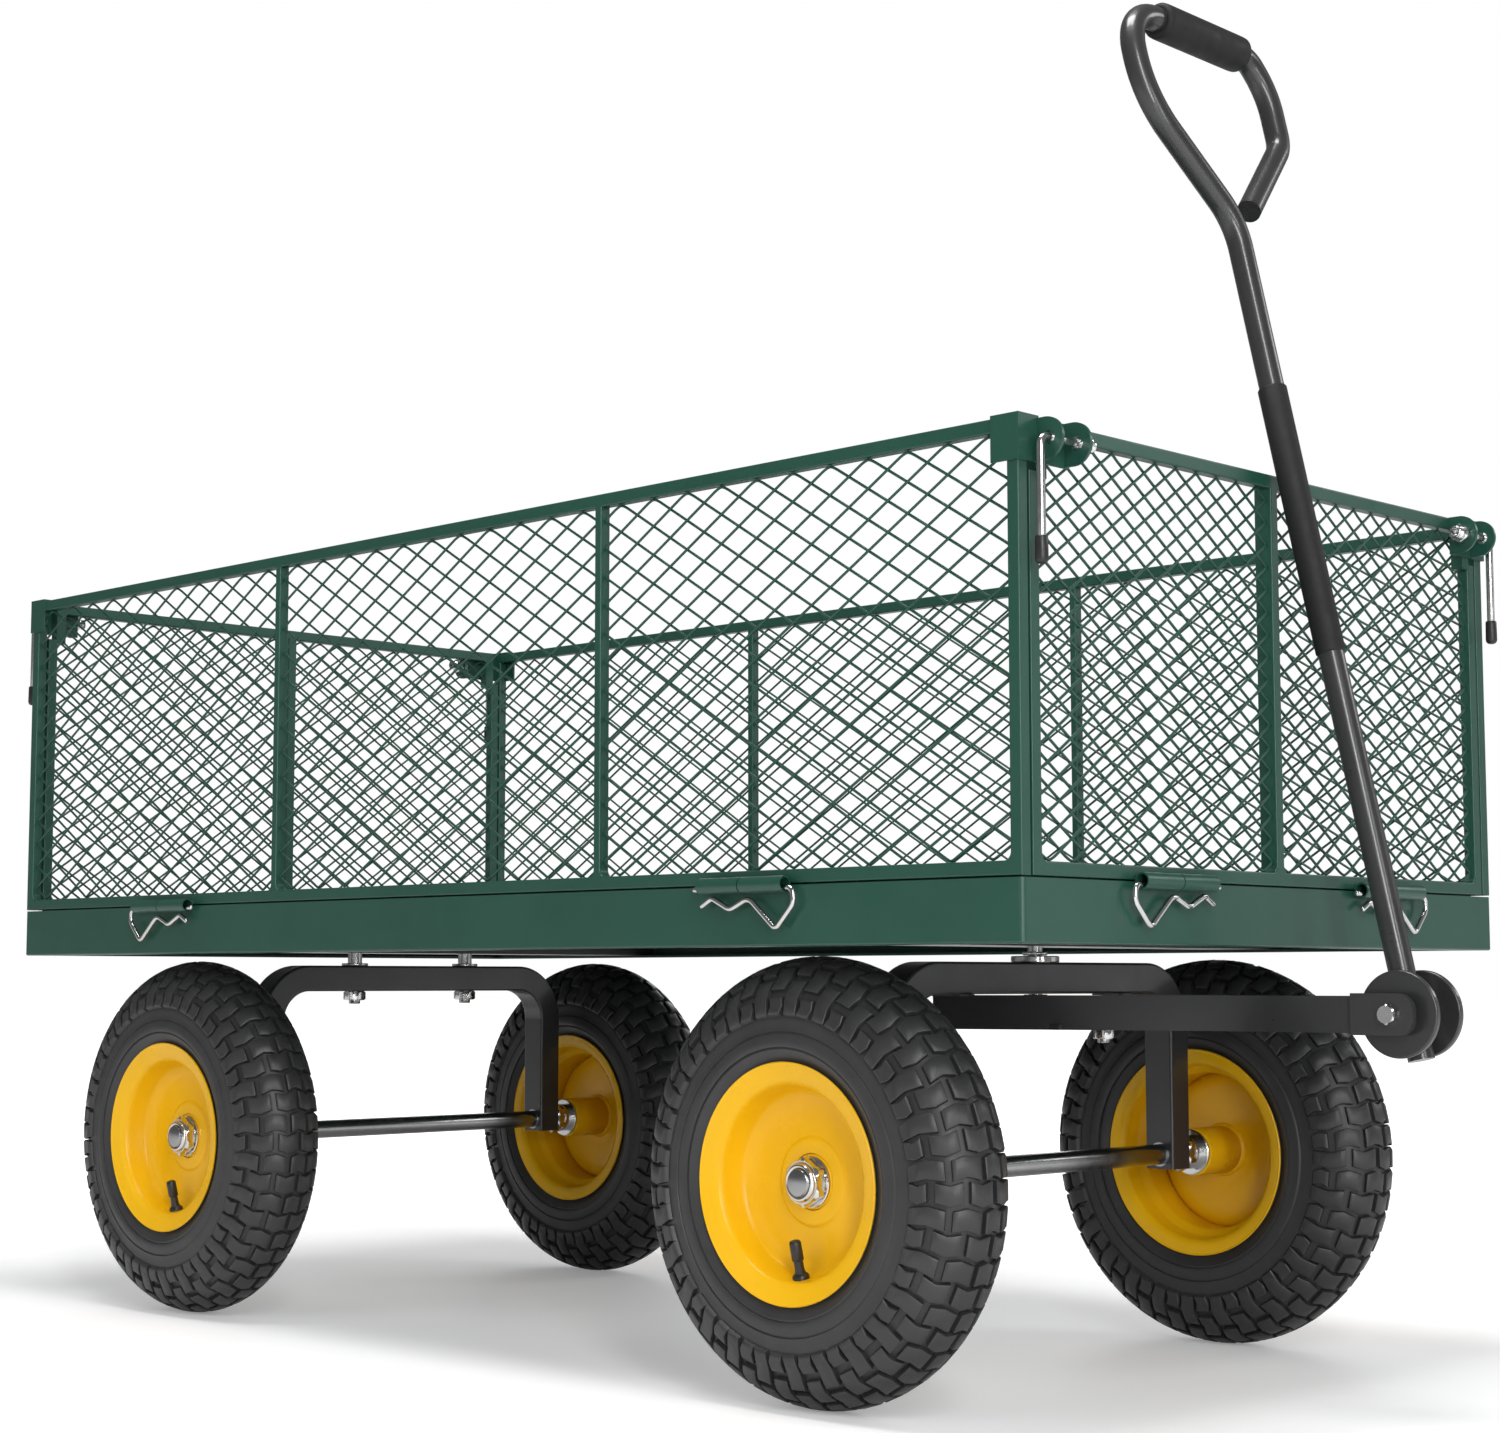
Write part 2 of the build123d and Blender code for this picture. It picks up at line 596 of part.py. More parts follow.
def rim():
    """Drop-centre barrel, pressed disc and welded hub tube."""
    t = RIM_SHEET
    half = RIM_HALF
    outside = [(half, RIM_RADIUS), (half - t, RIM_RADIUS), (half - t - 1, BEAD_RADIUS),
               (21, BEAD_RADIUS - 1.5), (16, WELL_RADIUS)]
    inside = [(half, RIM_RADIUS - 2), (half - 1.5, BEAD_RADIUS - t), (20, BEAD_RADIUS - 1.5 - t),
              (15.5, WELL_RADIUS - t)]
    mirrored_out = [(-a, r) for a, r in reversed(outside)]
    mirrored_in = [(-a, r) for a, r in inside]
    barrel = turned(outside + mirrored_out + mirrored_in + inside[::-1])
    face = DISC_FACE
    disc_front = [(face - 5, WELL_RADIUS - t + 0.5), (face - 5, 62), (face - 0.8, 57), (face, 52), (face, 33),
                  (face + 1.8, 30), (face + 1.8, HUB_RADIUS - 1)]
    disc_back = [(a - t, r) for a, r in reversed(disc_front)]
    disc = turned(disc_front + disc_back)
    hub = rod((HUB_INNER, 0, 0), (HUB_OUTER, 0, 0), HUB_RADIUS)
    wheel = barrel + disc + hub
    wheel -= rod((HUB_INNER - 1, 0, 0), (HUB_OUTER + 3, 0, 0), BEARING_RADIUS - 3)
    wheel -= rod((HUB_INNER - 1, 0, 0), (HUB_INNER + BEARING_WIDTH, 0, 0), BEARING_RADIUS)
    return wheel - rod((HUB_OUTER - BEARING_WIDTH, 0, 0), (HUB_OUTER + 3, 0, 0), BEARING_RADIUS)


def bearings():
    """A bearing at each end of the hub."""
    inner_start = HUB_INNER
    outer_start = HUB_OUTER - BEARING_WIDTH
    pieces = []
    for start in (inner_start, outer_start):
        pieces.append(tube((start, 0, 0), (start + BEARING_WIDTH, 0, 0), BEARING_RADIUS, BEARING_BORE))
    return pieces


def tyre():
    """Pneumatic tyre: a hollow carcass that sits on the rim's bead seats."""
    bead = BEAD_RADIUS + 0.4
    top = TYRE_RADIUS
    crown_half = [(36.2, 87.5), (41.8, 97), (43.6, 108), (42.8, 120), (39.6, 132), (33.8, 143.5),
                  (25.2, 153), (13.5, 159.9)]
    liner_half = [(31, 84), (35.6, 97), (37.2, 108), (36.2, 120), (33, 130.5), (27.5, 139.5), (18, 148)]
    crown = Spline(*crown_half, (0, top), *[(-a, r) for a, r in reversed(crown_half)])
    liner = Spline(*[(-a, r) for a, r in liner_half], (0, 153.5), *reversed(liner_half))
    toe_left = Polyline((-36.2, 87.5), (-35.8, bead), (-29, bead), (-31, 84))
    toe_right = Polyline((31, 84), (29, bead), (35.8, bead), (36.2, 87.5))
    section = make_face(crown.edges() + toe_left.edges() + liner.edges() + toe_right.edges())
    return revolve(section, Axis.X)


def valve():
    """Rubber valve stem that leans outboard from the bottom of the rim's well."""
    foot = (VALVE_REACH, 0, -VALVE_ROOT)
    neck = (VALVE_REACH + 2.4, 0, -VALVE_ROOT + 9.5)
    cap = (VALVE_REACH + 6.2, 0, -VALVE_ROOT + 26.0)
    return rod(foot, neck, 3.6) + rod(neck, cap, 4.3)


# ---------------------------------------------------------------- steering
def kingpin():
    """Pivot bolt fixed in the front bolster, with its boss and lock nut."""
    x = FRONT_AXLE_X
    nut_top = BEAM_BOTTOM - 0.5
    nut_bottom = nut_top - KINGPIN_NUT_HEIGHT
    pin = rod((x, 0, nut_bottom - 3), (x, 0, LEDGE_TOP - SKIRT_SHEET - BOX_WALL), KINGPIN_RADIUS)
    pin += rod((x, 0, BEAM_TOP + THRUST_HEIGHT + 0.4), (x, 0, LIP_TOP), KINGPIN_BOSS)
    pin += hexagon_bar((x, 0, nut_bottom), (x, 0, nut_top), KINGPIN_NUT_FLATS)
    return pin


def thrust_washer():
    """Large washer on the beam that carries the bed."""
    x = FRONT_AXLE_X
    return tube((x, 0, BEAM_TOP), (x, 0, BEAM_TOP + THRUST_HEIGHT), THRUST_RADIUS, KINGPIN_RADIUS + 0.4)


def arm_y(x):
    """Centre line of a drawbar arm, as its distance from the cart's middle."""
    run = (FRONT_AXLE_X + 197 - x) / 209
    return DRAWBAR_FRONT_Y + max(run, 0) * (DRAWBAR_REAR_Y - DRAWBAR_FRONT_Y)


def drawbar():
    """Two flat bars on edge that converge on the clevis, and the brace between them."""
    rear_x = FRONT_AXLE_X - TUBE_WIDTH / 2
    knee_x = FRONT_AXLE_X + 197
    front_x = PIVOT_X - 28
    middle_z = (DRAWBAR_TOP + DRAWBAR_BOTTOM) / 2
    height = DRAWBAR_TOP - DRAWBAR_BOTTOM
    brace_x = FRONT_X - BRACE_BACK
    brace_y = arm_y(brace_x)
    whole = block(brace_x - 15, brace_x + 15, -brace_y, brace_y, DRAWBAR_BOTTOM, DRAWBAR_BOTTOM + 4)
    whole -= rod((brace_x, 0, DRAWBAR_BOTTOM - 1), (brace_x, 0, DRAWBAR_BOTTOM + 5), 5.0)
    for side in (-1, 1):
        points = [(rear_x, side * DRAWBAR_REAR_Y, middle_z), (knee_x, side * DRAWBAR_FRONT_Y, middle_z),
                  (front_x, side * DRAWBAR_FRONT_Y, middle_z)]
        path = FilletPolyline(*points, radius=DRAWBAR_BEND)
        start = Plane(origin=path @ 0, x_dir=(0, 0, 1), z_dir=path % 0)
        whole += sweep(start * Rectangle(height, DRAWBAR_SHEET), path=path)
        pad_y = side * (DRAWBAR_REAR_Y - 7)
        whole += block(rear_x, rear_x + TUBE_WIDTH, pad_y - 9, pad_y + 9, DRAWBAR_TOP - 1, BEAM_BOTTOM)
    return whole


def brace_bolt():
    """Bolt and nut through the drawbar's brace."""
    x = FRONT_X - BRACE_BACK
    z = DRAWBAR_BOTTOM
    bolt = rod((x, 0, z - 11), (x, 0, z + 4), 5.0)
    bolt += hexagon_bar((x, 0, z + 4), (x, 0, z + 10), 16)
    nut = hexagon_bar((x, 0, z - 8), (x, 0, z), 16)
    return [bolt, nut - rod((x, 0, z - 12), (x, 0, z + 1), 5.0)]


def clevis():
    """Two round-ended tabs on the ends of the drawbar."""
    tabs = []
    inner = CLEVIS_OUTER - DRAWBAR_SHEET
    for side in (-1, 1):
        outline = Rectangle(CLEVIS_OVERLAP + CLEVIS_NOSE, CLEVIS_HEIGHT)
        outline = fillet(outline.vertices().group_by(Axis.X)[-1], CLEVIS_CORNER)
        tab = extrude(Plane.XZ * outline, DRAWBAR_SHEET / 2, both=True)
        middle_x = PIVOT_X + (CLEVIS_NOSE - CLEVIS_OVERLAP) / 2
        tab = Pos(middle_x, side * (inner + DRAWBAR_SHEET / 2), PIVOT_Z) * tab
        bore = rod((PIVOT_X, side * 20, PIVOT_Z), (PIVOT_X, side * 35, PIVOT_Z), PIVOT_BOLT)
        tabs.append(tab - bore)
    return tabs


def pivot_bolt():
    """Hexagon bolt and nut that the handle tilts on."""
    def at(y):
        return (PIVOT_X, y, PIVOT_Z)
    outer = CLEVIS_OUTER
    bolt = hexagon_bar(at(-outer), at(-outer - 5.5), PIVOT_BOLT_FLATS)
    bolt += rod(at(-outer), at(outer + 9), PIVOT_BOLT)
    nut = hexagon_bar(at(outer), at(outer + 6.5), PIVOT_BOLT_FLATS)
    return [bolt, nut - rod(at(outer - 1), at(outer + 8), PIVOT_BOLT)]


# ---------------------------------------------------------------- pull handle
# Handle space has the pivot at its origin, Z along the shaft and Y across.
def place_handle(shape):
    """Handle space to its parked place, leaning back over the front gate."""
    return Pos(PIVOT_X, 0, PIVOT_Z) * Rot(0, -HANDLE_LEAN, 0) * shape


def handle_path():
    """Centre line of the one-piece shaft and its open loop."""
    points = [(0, 0, -HANDLE_FOOT), (0, 0, 615), (0, -89, 700), (0, -89, LOOP_TOP), (0, 72, LOOP_TOP),
              (0, 92, 748), (0, 92, 700), (0, 25, 631)]
    return FilletPolyline(*points, radius=[52, 78, 36, 20, 58, 26])


def handle_tube():
    """Bent tube, cross-bored for the pivot bolt."""
    path = handle_path()
    start = Plane(origin=path @ 0, z_dir=path % 0)
    outside = sweep(start * Circle(HANDLE_TUBE), path=path)
    inside = sweep(start * Circle(HANDLE_TUBE - HANDLE_WALL), path=path)
    return outside - inside - rod((0, -12, 0), (0, 12, 0), PIVOT_BOLT + RUNNING_GAP)


def pivot_discs():
    """Pressed discs either side of the shaft, with bosses that run in the clevis."""
    discs = []
    for side in (-1, 1):
        disc = rod((0, side * DISC_INNER, 0), (0, side * DISC_OUTER, 0), DISC_RADIUS)
        disc = fillet(disc.edges().filter_by(GeomType.CIRCLE), 1.5)
        outer_end = CLEVIS_OUTER - DRAWBAR_SHEET - 0.5
        disc += rod((0, side * DISC_OUTER, 0), (0, side * outer_end, 0), 12)
        disc += rod((0, side * 3, 0), (0, side * DISC_INNER, 0), 11)
        disc -= rod((0, 0, -40), (0, 0, 40), HANDLE_TUBE)
        discs.append(disc - rod((0, side * 2, 0), (0, side * 30, 0), PIVOT_BOLT + RUNNING_GAP))
    return discs


def shaft_sleeve():
    """Foam sleeve on the straight of the shaft."""
    return tube((0, 0, SLEEVE_START), (0, 0, SLEEVE_END), SLEEVE_RADIUS, HANDLE_TUBE)


def hand_grip():
    """Foam grip on the top of the loop."""
    grip = rod((0, GRIP_START, LOOP_TOP), (0, GRIP_END, LOOP_TOP), GRIP_RADIUS)
    grip = fillet(grip.edges().filter_by(GeomType.CIRCLE), 4.0)
    return grip - rod((0, GRIP_START - 1, LOOP_TOP), (0, GRIP_END + 1, LOOP_TOP), HANDLE_TUBE)


def tube_plug():
    """Plastic plug in the open end of the loop."""
    path = handle_path()
    end = path @ 1
    along = path % 1
    inner = end - along * 14
    outer = end + along * 2
    return rod(inner, end, HANDLE_TUBE - HANDLE_WALL) + rod(end, outer, HANDLE_TUBE)


# ---------------------------------------------------------------- all nodes
def build():
    os.makedirs("parts", exist_ok=True)
    write("bed_frame", bed_frame())
    write("floor_deck", floor_deck())
    write("floor_supports", floor_supports())

    side_stiles = (-SIDE_STILE_OFFSET, SIDE_STILE_OFFSET)
    side_frame = gate_frame(SIDE_GATE_LENGTH, side_stiles, STILE, SIDE_HINGE_X, False)
    side_mesh = gate_mesh(SIDE_GATE_LENGTH, side_stiles, STILE, SIDE_DIAMONDS, False)
    caps = side_caps()
    for name, place in (("right", to_right), ("left", to_left)):
        write(f"{name}_gate_frame", place(side_frame))
        write(f"{name}_gate_mesh", [place(bay) for bay in side_mesh])
        write(f"{name}_gate_caps", [place(cap) for cap in caps])

    end_frame = gate_frame(END_GATE_LENGTH, (0.0,), END_STILE, END_HINGE_X, True)
    for bracket in catch_brackets():
        end_frame += bracket
    end_mesh = gate_mesh(END_GATE_LENGTH, (0.0,), END_STILE, END_DIAMONDS, True)
    for name, place in (("front", to_front), ("rear", to_rear)):
        write(f"{name}_gate_frame", place(end_frame))
        write(f"{name}_gate_mesh", [place(bay) for bay in end_mesh])
        write(f"{name}_gate_catches", [place(nut) for nut in catch_nuts()])

    barrels = []
    clips = []
    for hinge_x, places in ((SIDE_HINGE_X, (to_right, to_left)), (END_HINGE_X, (to_front, to_rear))):
        for place in places:
            barrels += [place(barrel) for barrel in bed_barrels(hinge_x)]
            clips += [place(clip) for clip in hinge_clips(hinge_x)]
    write("bed_hinge_barrels", barrels)
    write("hinge_clips", clips)

    for end_name, end in (("front", 1), ("rear", -1)):
        for side_name, side in (("right", -1), ("left", 1)):
            write(f"{end_name}_{side_name}_latch_rod", latch_pin(end, side))
            write(f"{end_name}_{side_name}_latch_tip", latch_tip(end, side))

    write("rear_axle_frame", rear_axle_frame())
    write("rear_frame_bolts", rear_frame_bolts())
    write("rear_axle", axle(REAR_AXLE_X))
    write("rear_axle_nuts", axle_nuts(REAR_AXLE_X))
    write("front_axle_frame", front_axle_frame())
    write("front_axle", axle(FRONT_AXLE_X))
    write("front_axle_nuts", axle_nuts(FRONT_AXLE_X))
    write("kingpin", kingpin())
    write("thrust_washer", thrust_washer())
    write("drawbar", drawbar())
    write("drawbar_brace_bolt", brace_bolt())
    write("clevis", clevis())
    write("handle_pivot_bolt", pivot_bolt())

    wheel_pieces = (("tyre", tyre()), ("rim", rim()), ("valve", valve()))
    for end_name, x in (("front", FRONT_AXLE_X), ("rear", REAR_AXLE_X)):
        for side_name, side in (("right", -1), ("left", 1)):
            for piece_name, piece in wheel_pieces:
                write(f"{end_name}_{side_name}_{piece_name}", place_wheel(piece, x, side))
            placed = [place_wheel(bearing, x, side) for bearing in bearings()]
            write(f"{end_name}_{side_name}_bearings", placed)

    write("handle_tube", place_handle(handle_tube()))
    write("handle_pivot_discs", [place_handle(disc) for disc in pivot_discs()])
    write("shaft_sleeve", place_handle(shaft_sleeve()))
    write("hand_grip", place_handle(hand_grip()))
    write("handle_end_plug", place_handle(tube_plug()))


build()
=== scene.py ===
import json
import math

import bmesh
import bpy
from mathutils import Matrix, Vector


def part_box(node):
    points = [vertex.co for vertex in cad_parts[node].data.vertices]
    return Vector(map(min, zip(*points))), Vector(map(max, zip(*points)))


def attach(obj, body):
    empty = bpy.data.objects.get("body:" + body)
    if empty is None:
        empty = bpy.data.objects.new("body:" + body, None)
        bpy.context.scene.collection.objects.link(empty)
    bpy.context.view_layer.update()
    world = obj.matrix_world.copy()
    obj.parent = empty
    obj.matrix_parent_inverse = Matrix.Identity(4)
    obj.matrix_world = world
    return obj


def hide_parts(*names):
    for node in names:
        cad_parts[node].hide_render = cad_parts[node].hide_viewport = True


MM = 0.001
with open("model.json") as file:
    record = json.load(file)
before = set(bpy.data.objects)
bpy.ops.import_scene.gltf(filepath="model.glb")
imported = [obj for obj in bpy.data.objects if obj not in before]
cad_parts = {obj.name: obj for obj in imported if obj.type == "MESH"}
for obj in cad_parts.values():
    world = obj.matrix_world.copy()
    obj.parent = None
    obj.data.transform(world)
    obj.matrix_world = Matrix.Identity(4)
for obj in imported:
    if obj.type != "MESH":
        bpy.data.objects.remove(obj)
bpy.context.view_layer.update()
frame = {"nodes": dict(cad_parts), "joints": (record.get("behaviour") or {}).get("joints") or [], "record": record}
nodes = frame["nodes"]
joints = {joint["name"]: joint for joint in frame["joints"]}
scene = bpy.context.scene

ENDS = (("front", 1), ("rear", -1))
SIDES = (("right", -1), ("left", 1))


# ------------------------------------------------------------------ places read from the frame
def joint_point(name):
    return Vector(joints[name]["pos_m"])


bed_low, bed_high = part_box("bed_frame")
FRONT_X, REAR_X = bed_high.x, bed_low.x
BED_MIDDLE = (FRONT_X + REAR_X) / 2
PIVOT = joint_point("handle_tilt")


# ------------------------------------------------------------------ camera
# A 63 mm lens at about knee height, off the front right corner, looking slightly up.
camera_data = bpy.data.cameras.new("camera")
camera = bpy.data.objects.new("camera", camera_data)
scene.collection.objects.link(camera)
scene.camera = camera
camera_data.lens = 63.24
camera_data.sensor_width = 36
camera_data.shift_x = 0.0095
camera_data.shift_y = 0.0080
camera_data.clip_start, camera_data.clip_end = 0.05, 60
camera.location = (FRONT_X + 1.0868, -1.663, 0.3076)
azimuth, elevation = math.radians(134.872), math.radians(5.449)
aim = Vector((
    math.cos(azimuth) * math.cos(elevation),
    math.sin(azimuth) * math.cos(elevation),
    math.sin(elevation),
))
camera.rotation_euler = aim.to_track_quat("-Z", "Y").to_euler()


# ------------------------------------------------------------------ materials
class Maker:
    """A few words for building node materials."""

    def __init__(self, name):
        self.material = bpy.data.materials.new(name)
        self.material.use_nodes = True
        self.tree = self.material.node_tree
        self.shader = self.tree.nodes["Principled BSDF"]
        self.coords = self.tree.nodes.new("ShaderNodeTexCoord").outputs["Object"]

    def node(self, kind, **settings):
        made = self.tree.nodes.new(kind)
        for key, value in settings.items():
            setattr(made, key, value)
        return made

    def link(self, source, target):
        self.tree.links.new(source, target)

    def noise(self, scale, detail=3.0, rough=0.5):
        made = self.node("ShaderNodeTexNoise")
        made.inputs["Scale"].default_value = scale
        made.inputs["Detail"].default_value = detail
        made.inputs["Roughness"].default_value = rough
        self.link(self.coords, made.inputs["Vector"])
        return made.outputs["Fac"]

    def cells(self, scale):
        made = self.node("ShaderNodeTexVoronoi", feature="F1")
        made.inputs["Scale"].default_value = scale
        self.link(self.coords, made.inputs["Vector"])
        return made.outputs["Distance"]

    def remap(self, value, low, high, out_low, out_high):
        made = self.node("ShaderNodeMapRange")
        for key, number in (("From Min", low), ("From Max", high), ("To Min", out_low), ("To Max", out_high)):
            made.inputs[key].default_value = number
        self.link(value, made.inputs["Value"])
        return made.outputs["Result"]

    def blend(self, factor, one, two):
        made = self.node("ShaderNodeMix", data_type="RGBA")
        made.inputs["A"].default_value = (*one, 1)
        made.inputs["B"].default_value = (*two, 1)
        self.link(factor, made.inputs["Factor"])
        return made.outputs["Result"]

    def bump(self, height, strength, distance, below=None):
        made = self.node("ShaderNodeBump")
        made.inputs["Strength"].default_value = strength
        made.inputs["Distance"].default_value = distance
        self.link(height, made.inputs["Height"])
        if below is not None:
            self.link(below, made.inputs["Normal"])
        return made.outputs["Normal"]

    def finish(self, color, rough, normal=None, metallic=0.0, **sockets):
        self.link(color, self.shader.inputs["Base Color"])
        self.link(rough, self.shader.inputs["Roughness"])
        if normal is not None:
            self.link(normal, self.shader.inputs["Normal"])
        self.shader.inputs["Metallic"].default_value = metallic
        for key, value in sockets.items():
            self.shader.inputs[key.replace("_", " ")].default_value = value
        return self.material


def powder_coat(name, dark, light, rough, peel=0.12, coat=0.0):
    """Baked powder coat: slight orange peel and a fine mottling of gloss."""
    m = Maker(name)
    tone = m.remap(m.noise(9, 4, 0.55), 0.3, 0.7, 0, 1)
    color = m.blend(tone, dark, light)
    gloss = m.remap(m.noise(26, 5, 0.6), 0.3, 0.7, rough - 0.05, rough + 0.07)
    peel_height = m.noise(650, 2, 0.5)
    normal = m.bump(peel_height, peel, 0.0004)
    return m.finish(color, gloss, normal, Coat_Weight=coat, Coat_Roughness=0.12)


def enamel(name, dark, light):
    """Glossy wet-sprayed enamel on pressed sheet."""
    m = Maker(name)
    color = m.blend(m.remap(m.noise(14, 3, 0.5), 0.3, 0.7, 0, 1), dark, light)
    gloss = m.remap(m.noise(40, 4, 0.6), 0.3, 0.7, 0.26, 0.36)
    normal = m.bump(m.noise(420, 2, 0.5), 0.04, 0.0003)
    return m.finish(color, gloss, normal, Specular_IOR_Level=0.3)


def rubber(name):
    """Moulded tyre rubber: fine grain, a dull bloom in patches."""
    m = Maker(name)
    bloom = m.remap(m.noise(22, 6, 0.62), 0.35, 0.75, 0, 1)
    color = m.blend(bloom, (0.027, 0.027, 0.028), (0.036, 0.036, 0.037))
    gloss = m.remap(m.noise(60, 5, 0.6), 0.3, 0.7, 0.36, 0.48)
    grain = m.bump(m.noise(1500, 3, 0.6), 0.25, 0.0003)
    normal = m.bump(m.noise(160, 4, 0.55), 0.12, 0.0008, grain)
    return m.finish(color, gloss, normal, Specular_IOR_Level=0.45)


def foam(name):
    """Closed-cell foam grip: a fine pebbled skin."""
    m = Maker(name)
    mottle = m.remap(m.noise(300, 4, 0.6), 0.3, 0.7, 0, 1)
    color = m.blend(mottle, (0.007, 0.007, 0.0074), (0.010, 0.010, 0.0104))
    gloss = m.remap(m.noise(90, 3, 0.5), 0.3, 0.7, 0.55, 0.7)
    pores = m.bump(m.cells(1600), 0.25, 0.0003)
    normal = m.bump(m.noise(260, 4, 0.6), 0.08, 0.0004, pores)
    return m.finish(color, gloss, normal, Specular_IOR_Level=0.35)


def plated(name, dark, light, low, high, scratch=0.08):
    """Zinc-plated or ground steel: metal with faint brushing and cloudy gloss."""
    m = Maker(name)
    color = m.blend(m.remap(m.noise(70, 5, 0.6), 0.3, 0.7, 0, 1), dark, light)
    gloss = m.remap(m.noise(110, 5, 0.65), 0.3, 0.7, low, high)
    normal = m.bump(m.noise(900, 3, 0.6), scratch, 0.0003)
    return m.finish(color, gloss, normal, metallic=1.0)


def vinyl(name):
    """Dipped vinyl: smooth, slightly lumpy."""
    m = Maker(name)
    mottle = m.remap(m.noise(150, 3, 0.5), 0.3, 0.7, 0, 1)
    color = m.blend(mottle, (0.010, 0.010, 0.010), (0.019, 0.019, 0.019))
    gloss = m.remap(m.noise(80, 3, 0.5), 0.3, 0.7, 0.32, 0.45)
    normal = m.bump(m.noise(180, 2, 0.5), 0.15, 0.0006)
    return m.finish(color, gloss, normal)


FINISH = {
    "green_powder_coat": powder_coat(
        "green_powder", (0.0105, 0.056, 0.038), (0.0130, 0.064, 0.044), 0.34, 0.10, 0.0
    ),
    "green_mesh": powder_coat("green_wire", (0.0105, 0.054, 0.036), (0.0130, 0.062, 0.042), 0.38, 0.10),
    "black_powder_coat": powder_coat(
        "black_powder", (0.022, 0.0222, 0.023), (0.027, 0.027, 0.028), 0.32, 0.06, 0.4
    ),
    "yellow_paint": enamel("yellow_enamel", (0.74, 0.405, 0.003), (0.78, 0.43, 0.004)),
    "tyre_rubber": rubber("tyre_rubber"),
    "valve_rubber": vinyl("valve_rubber"),
    "foam": foam("grip_foam"),
    "zinc": plated("zinc_plate", (0.62, 0.62, 0.62), (0.72, 0.72, 0.72), 0.14, 0.24, 0.03),
    "dark_steel": plated("axle_steel", (0.34, 0.34, 0.345), (0.40, 0.40, 0.405), 0.18, 0.26, 0.015),
    "bearing_steel": plated("bearing_steel", (0.55, 0.55, 0.56), (0.70, 0.70, 0.71), 0.16, 0.28),
    "rod_plate": plated("wire_plate", (0.60, 0.60, 0.59), (0.70, 0.70, 0.69), 0.12, 0.22, 0.03),
    "black_vinyl": vinyl("dipped_vinyl"),
}
SLOT_OF = {row["node"]: row["material_slot"] for row in frame["record"]["subparts"]}

for name, obj in nodes.items():
    obj.data.materials.clear()
    obj.data.materials.append(FINISH[SLOT_OF[name]])


# ------------------------------------------------------------------ mesh helpers
def make_piece(name, bm, body, slot_name, stands_for=(), smooth=40):
    """A finished piece: mesh, finish, smoothing, body and the CAD nodes it stands for."""
    mesh = bpy.data.meshes.new(name)
    bm.to_mesh(mesh)
    bm.free()
    obj = bpy.data.objects.new(name, mesh)
    scene.collection.objects.link(obj)
    mesh.materials.append(FINISH[slot_name])
    mesh.polygons.foreach_set("use_smooth", [True] * len(mesh.polygons))
    if smooth is not None:
        mesh.set_sharp_from_angle(angle=math.radians(smooth))
    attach(obj, body)
    if stands_for:
        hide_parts(*stands_for)
    return obj


def metres(profile):
    """The (outboard, radius) points of a profile in mm, in metres."""
    return [(a * MM, r * MM) for a, r in profile]


def lathe(bm, profile, segments, place, closed=False):
    """Turn (outboard, radius) points about the local X axis, then put them in place."""
    rings = []
    for i in range(segments):
        angle = 2 * math.pi * i / segments
        ring = []
        for along, radius in profile:
            point = Vector((along, radius * math.cos(angle), radius * math.sin(angle)))
            ring.append(bm.verts.new(place @ point))
        rings.append(ring)
    count = len(profile)
    last = count if closed else count - 1
    for i in range(segments):
        one, two = rings[i], rings[(i + 1) % segments]
        for k in range(last):
            bm.faces.new((one[k], one[(k + 1) % count], two[(k + 1) % count], two[k]))


def rounded(points, radii, steps=6):
    """Points along a polyline whose corners are arcs, with a radius for each inner corner."""
    points = [Vector(p) for p in points]
    path = [points[0]]
    for i in range(1, len(points) - 1):
        before = (points[i - 1] - points[i]).normalized()
        after = (points[i + 1] - points[i]).normalized()
        half = before.angle(after) / 2
        radius = radii[i - 1]
        reach = radius / math.tan(half)
        centre = points[i] + (before + after).normalized() * (radius / math.sin(half))
        start, end = points[i] + before * reach, points[i] + after * reach
        one, two = start - centre, end - centre
        sweep = one.angle(two)
        for k in range(steps + 1):
            t = k / steps
            arm = (one * math.sin((1 - t) * sweep) + two * math.sin(t * sweep)) / math.sin(sweep)
            path.append(centre + arm)
    path.append(points[-1])
    return path


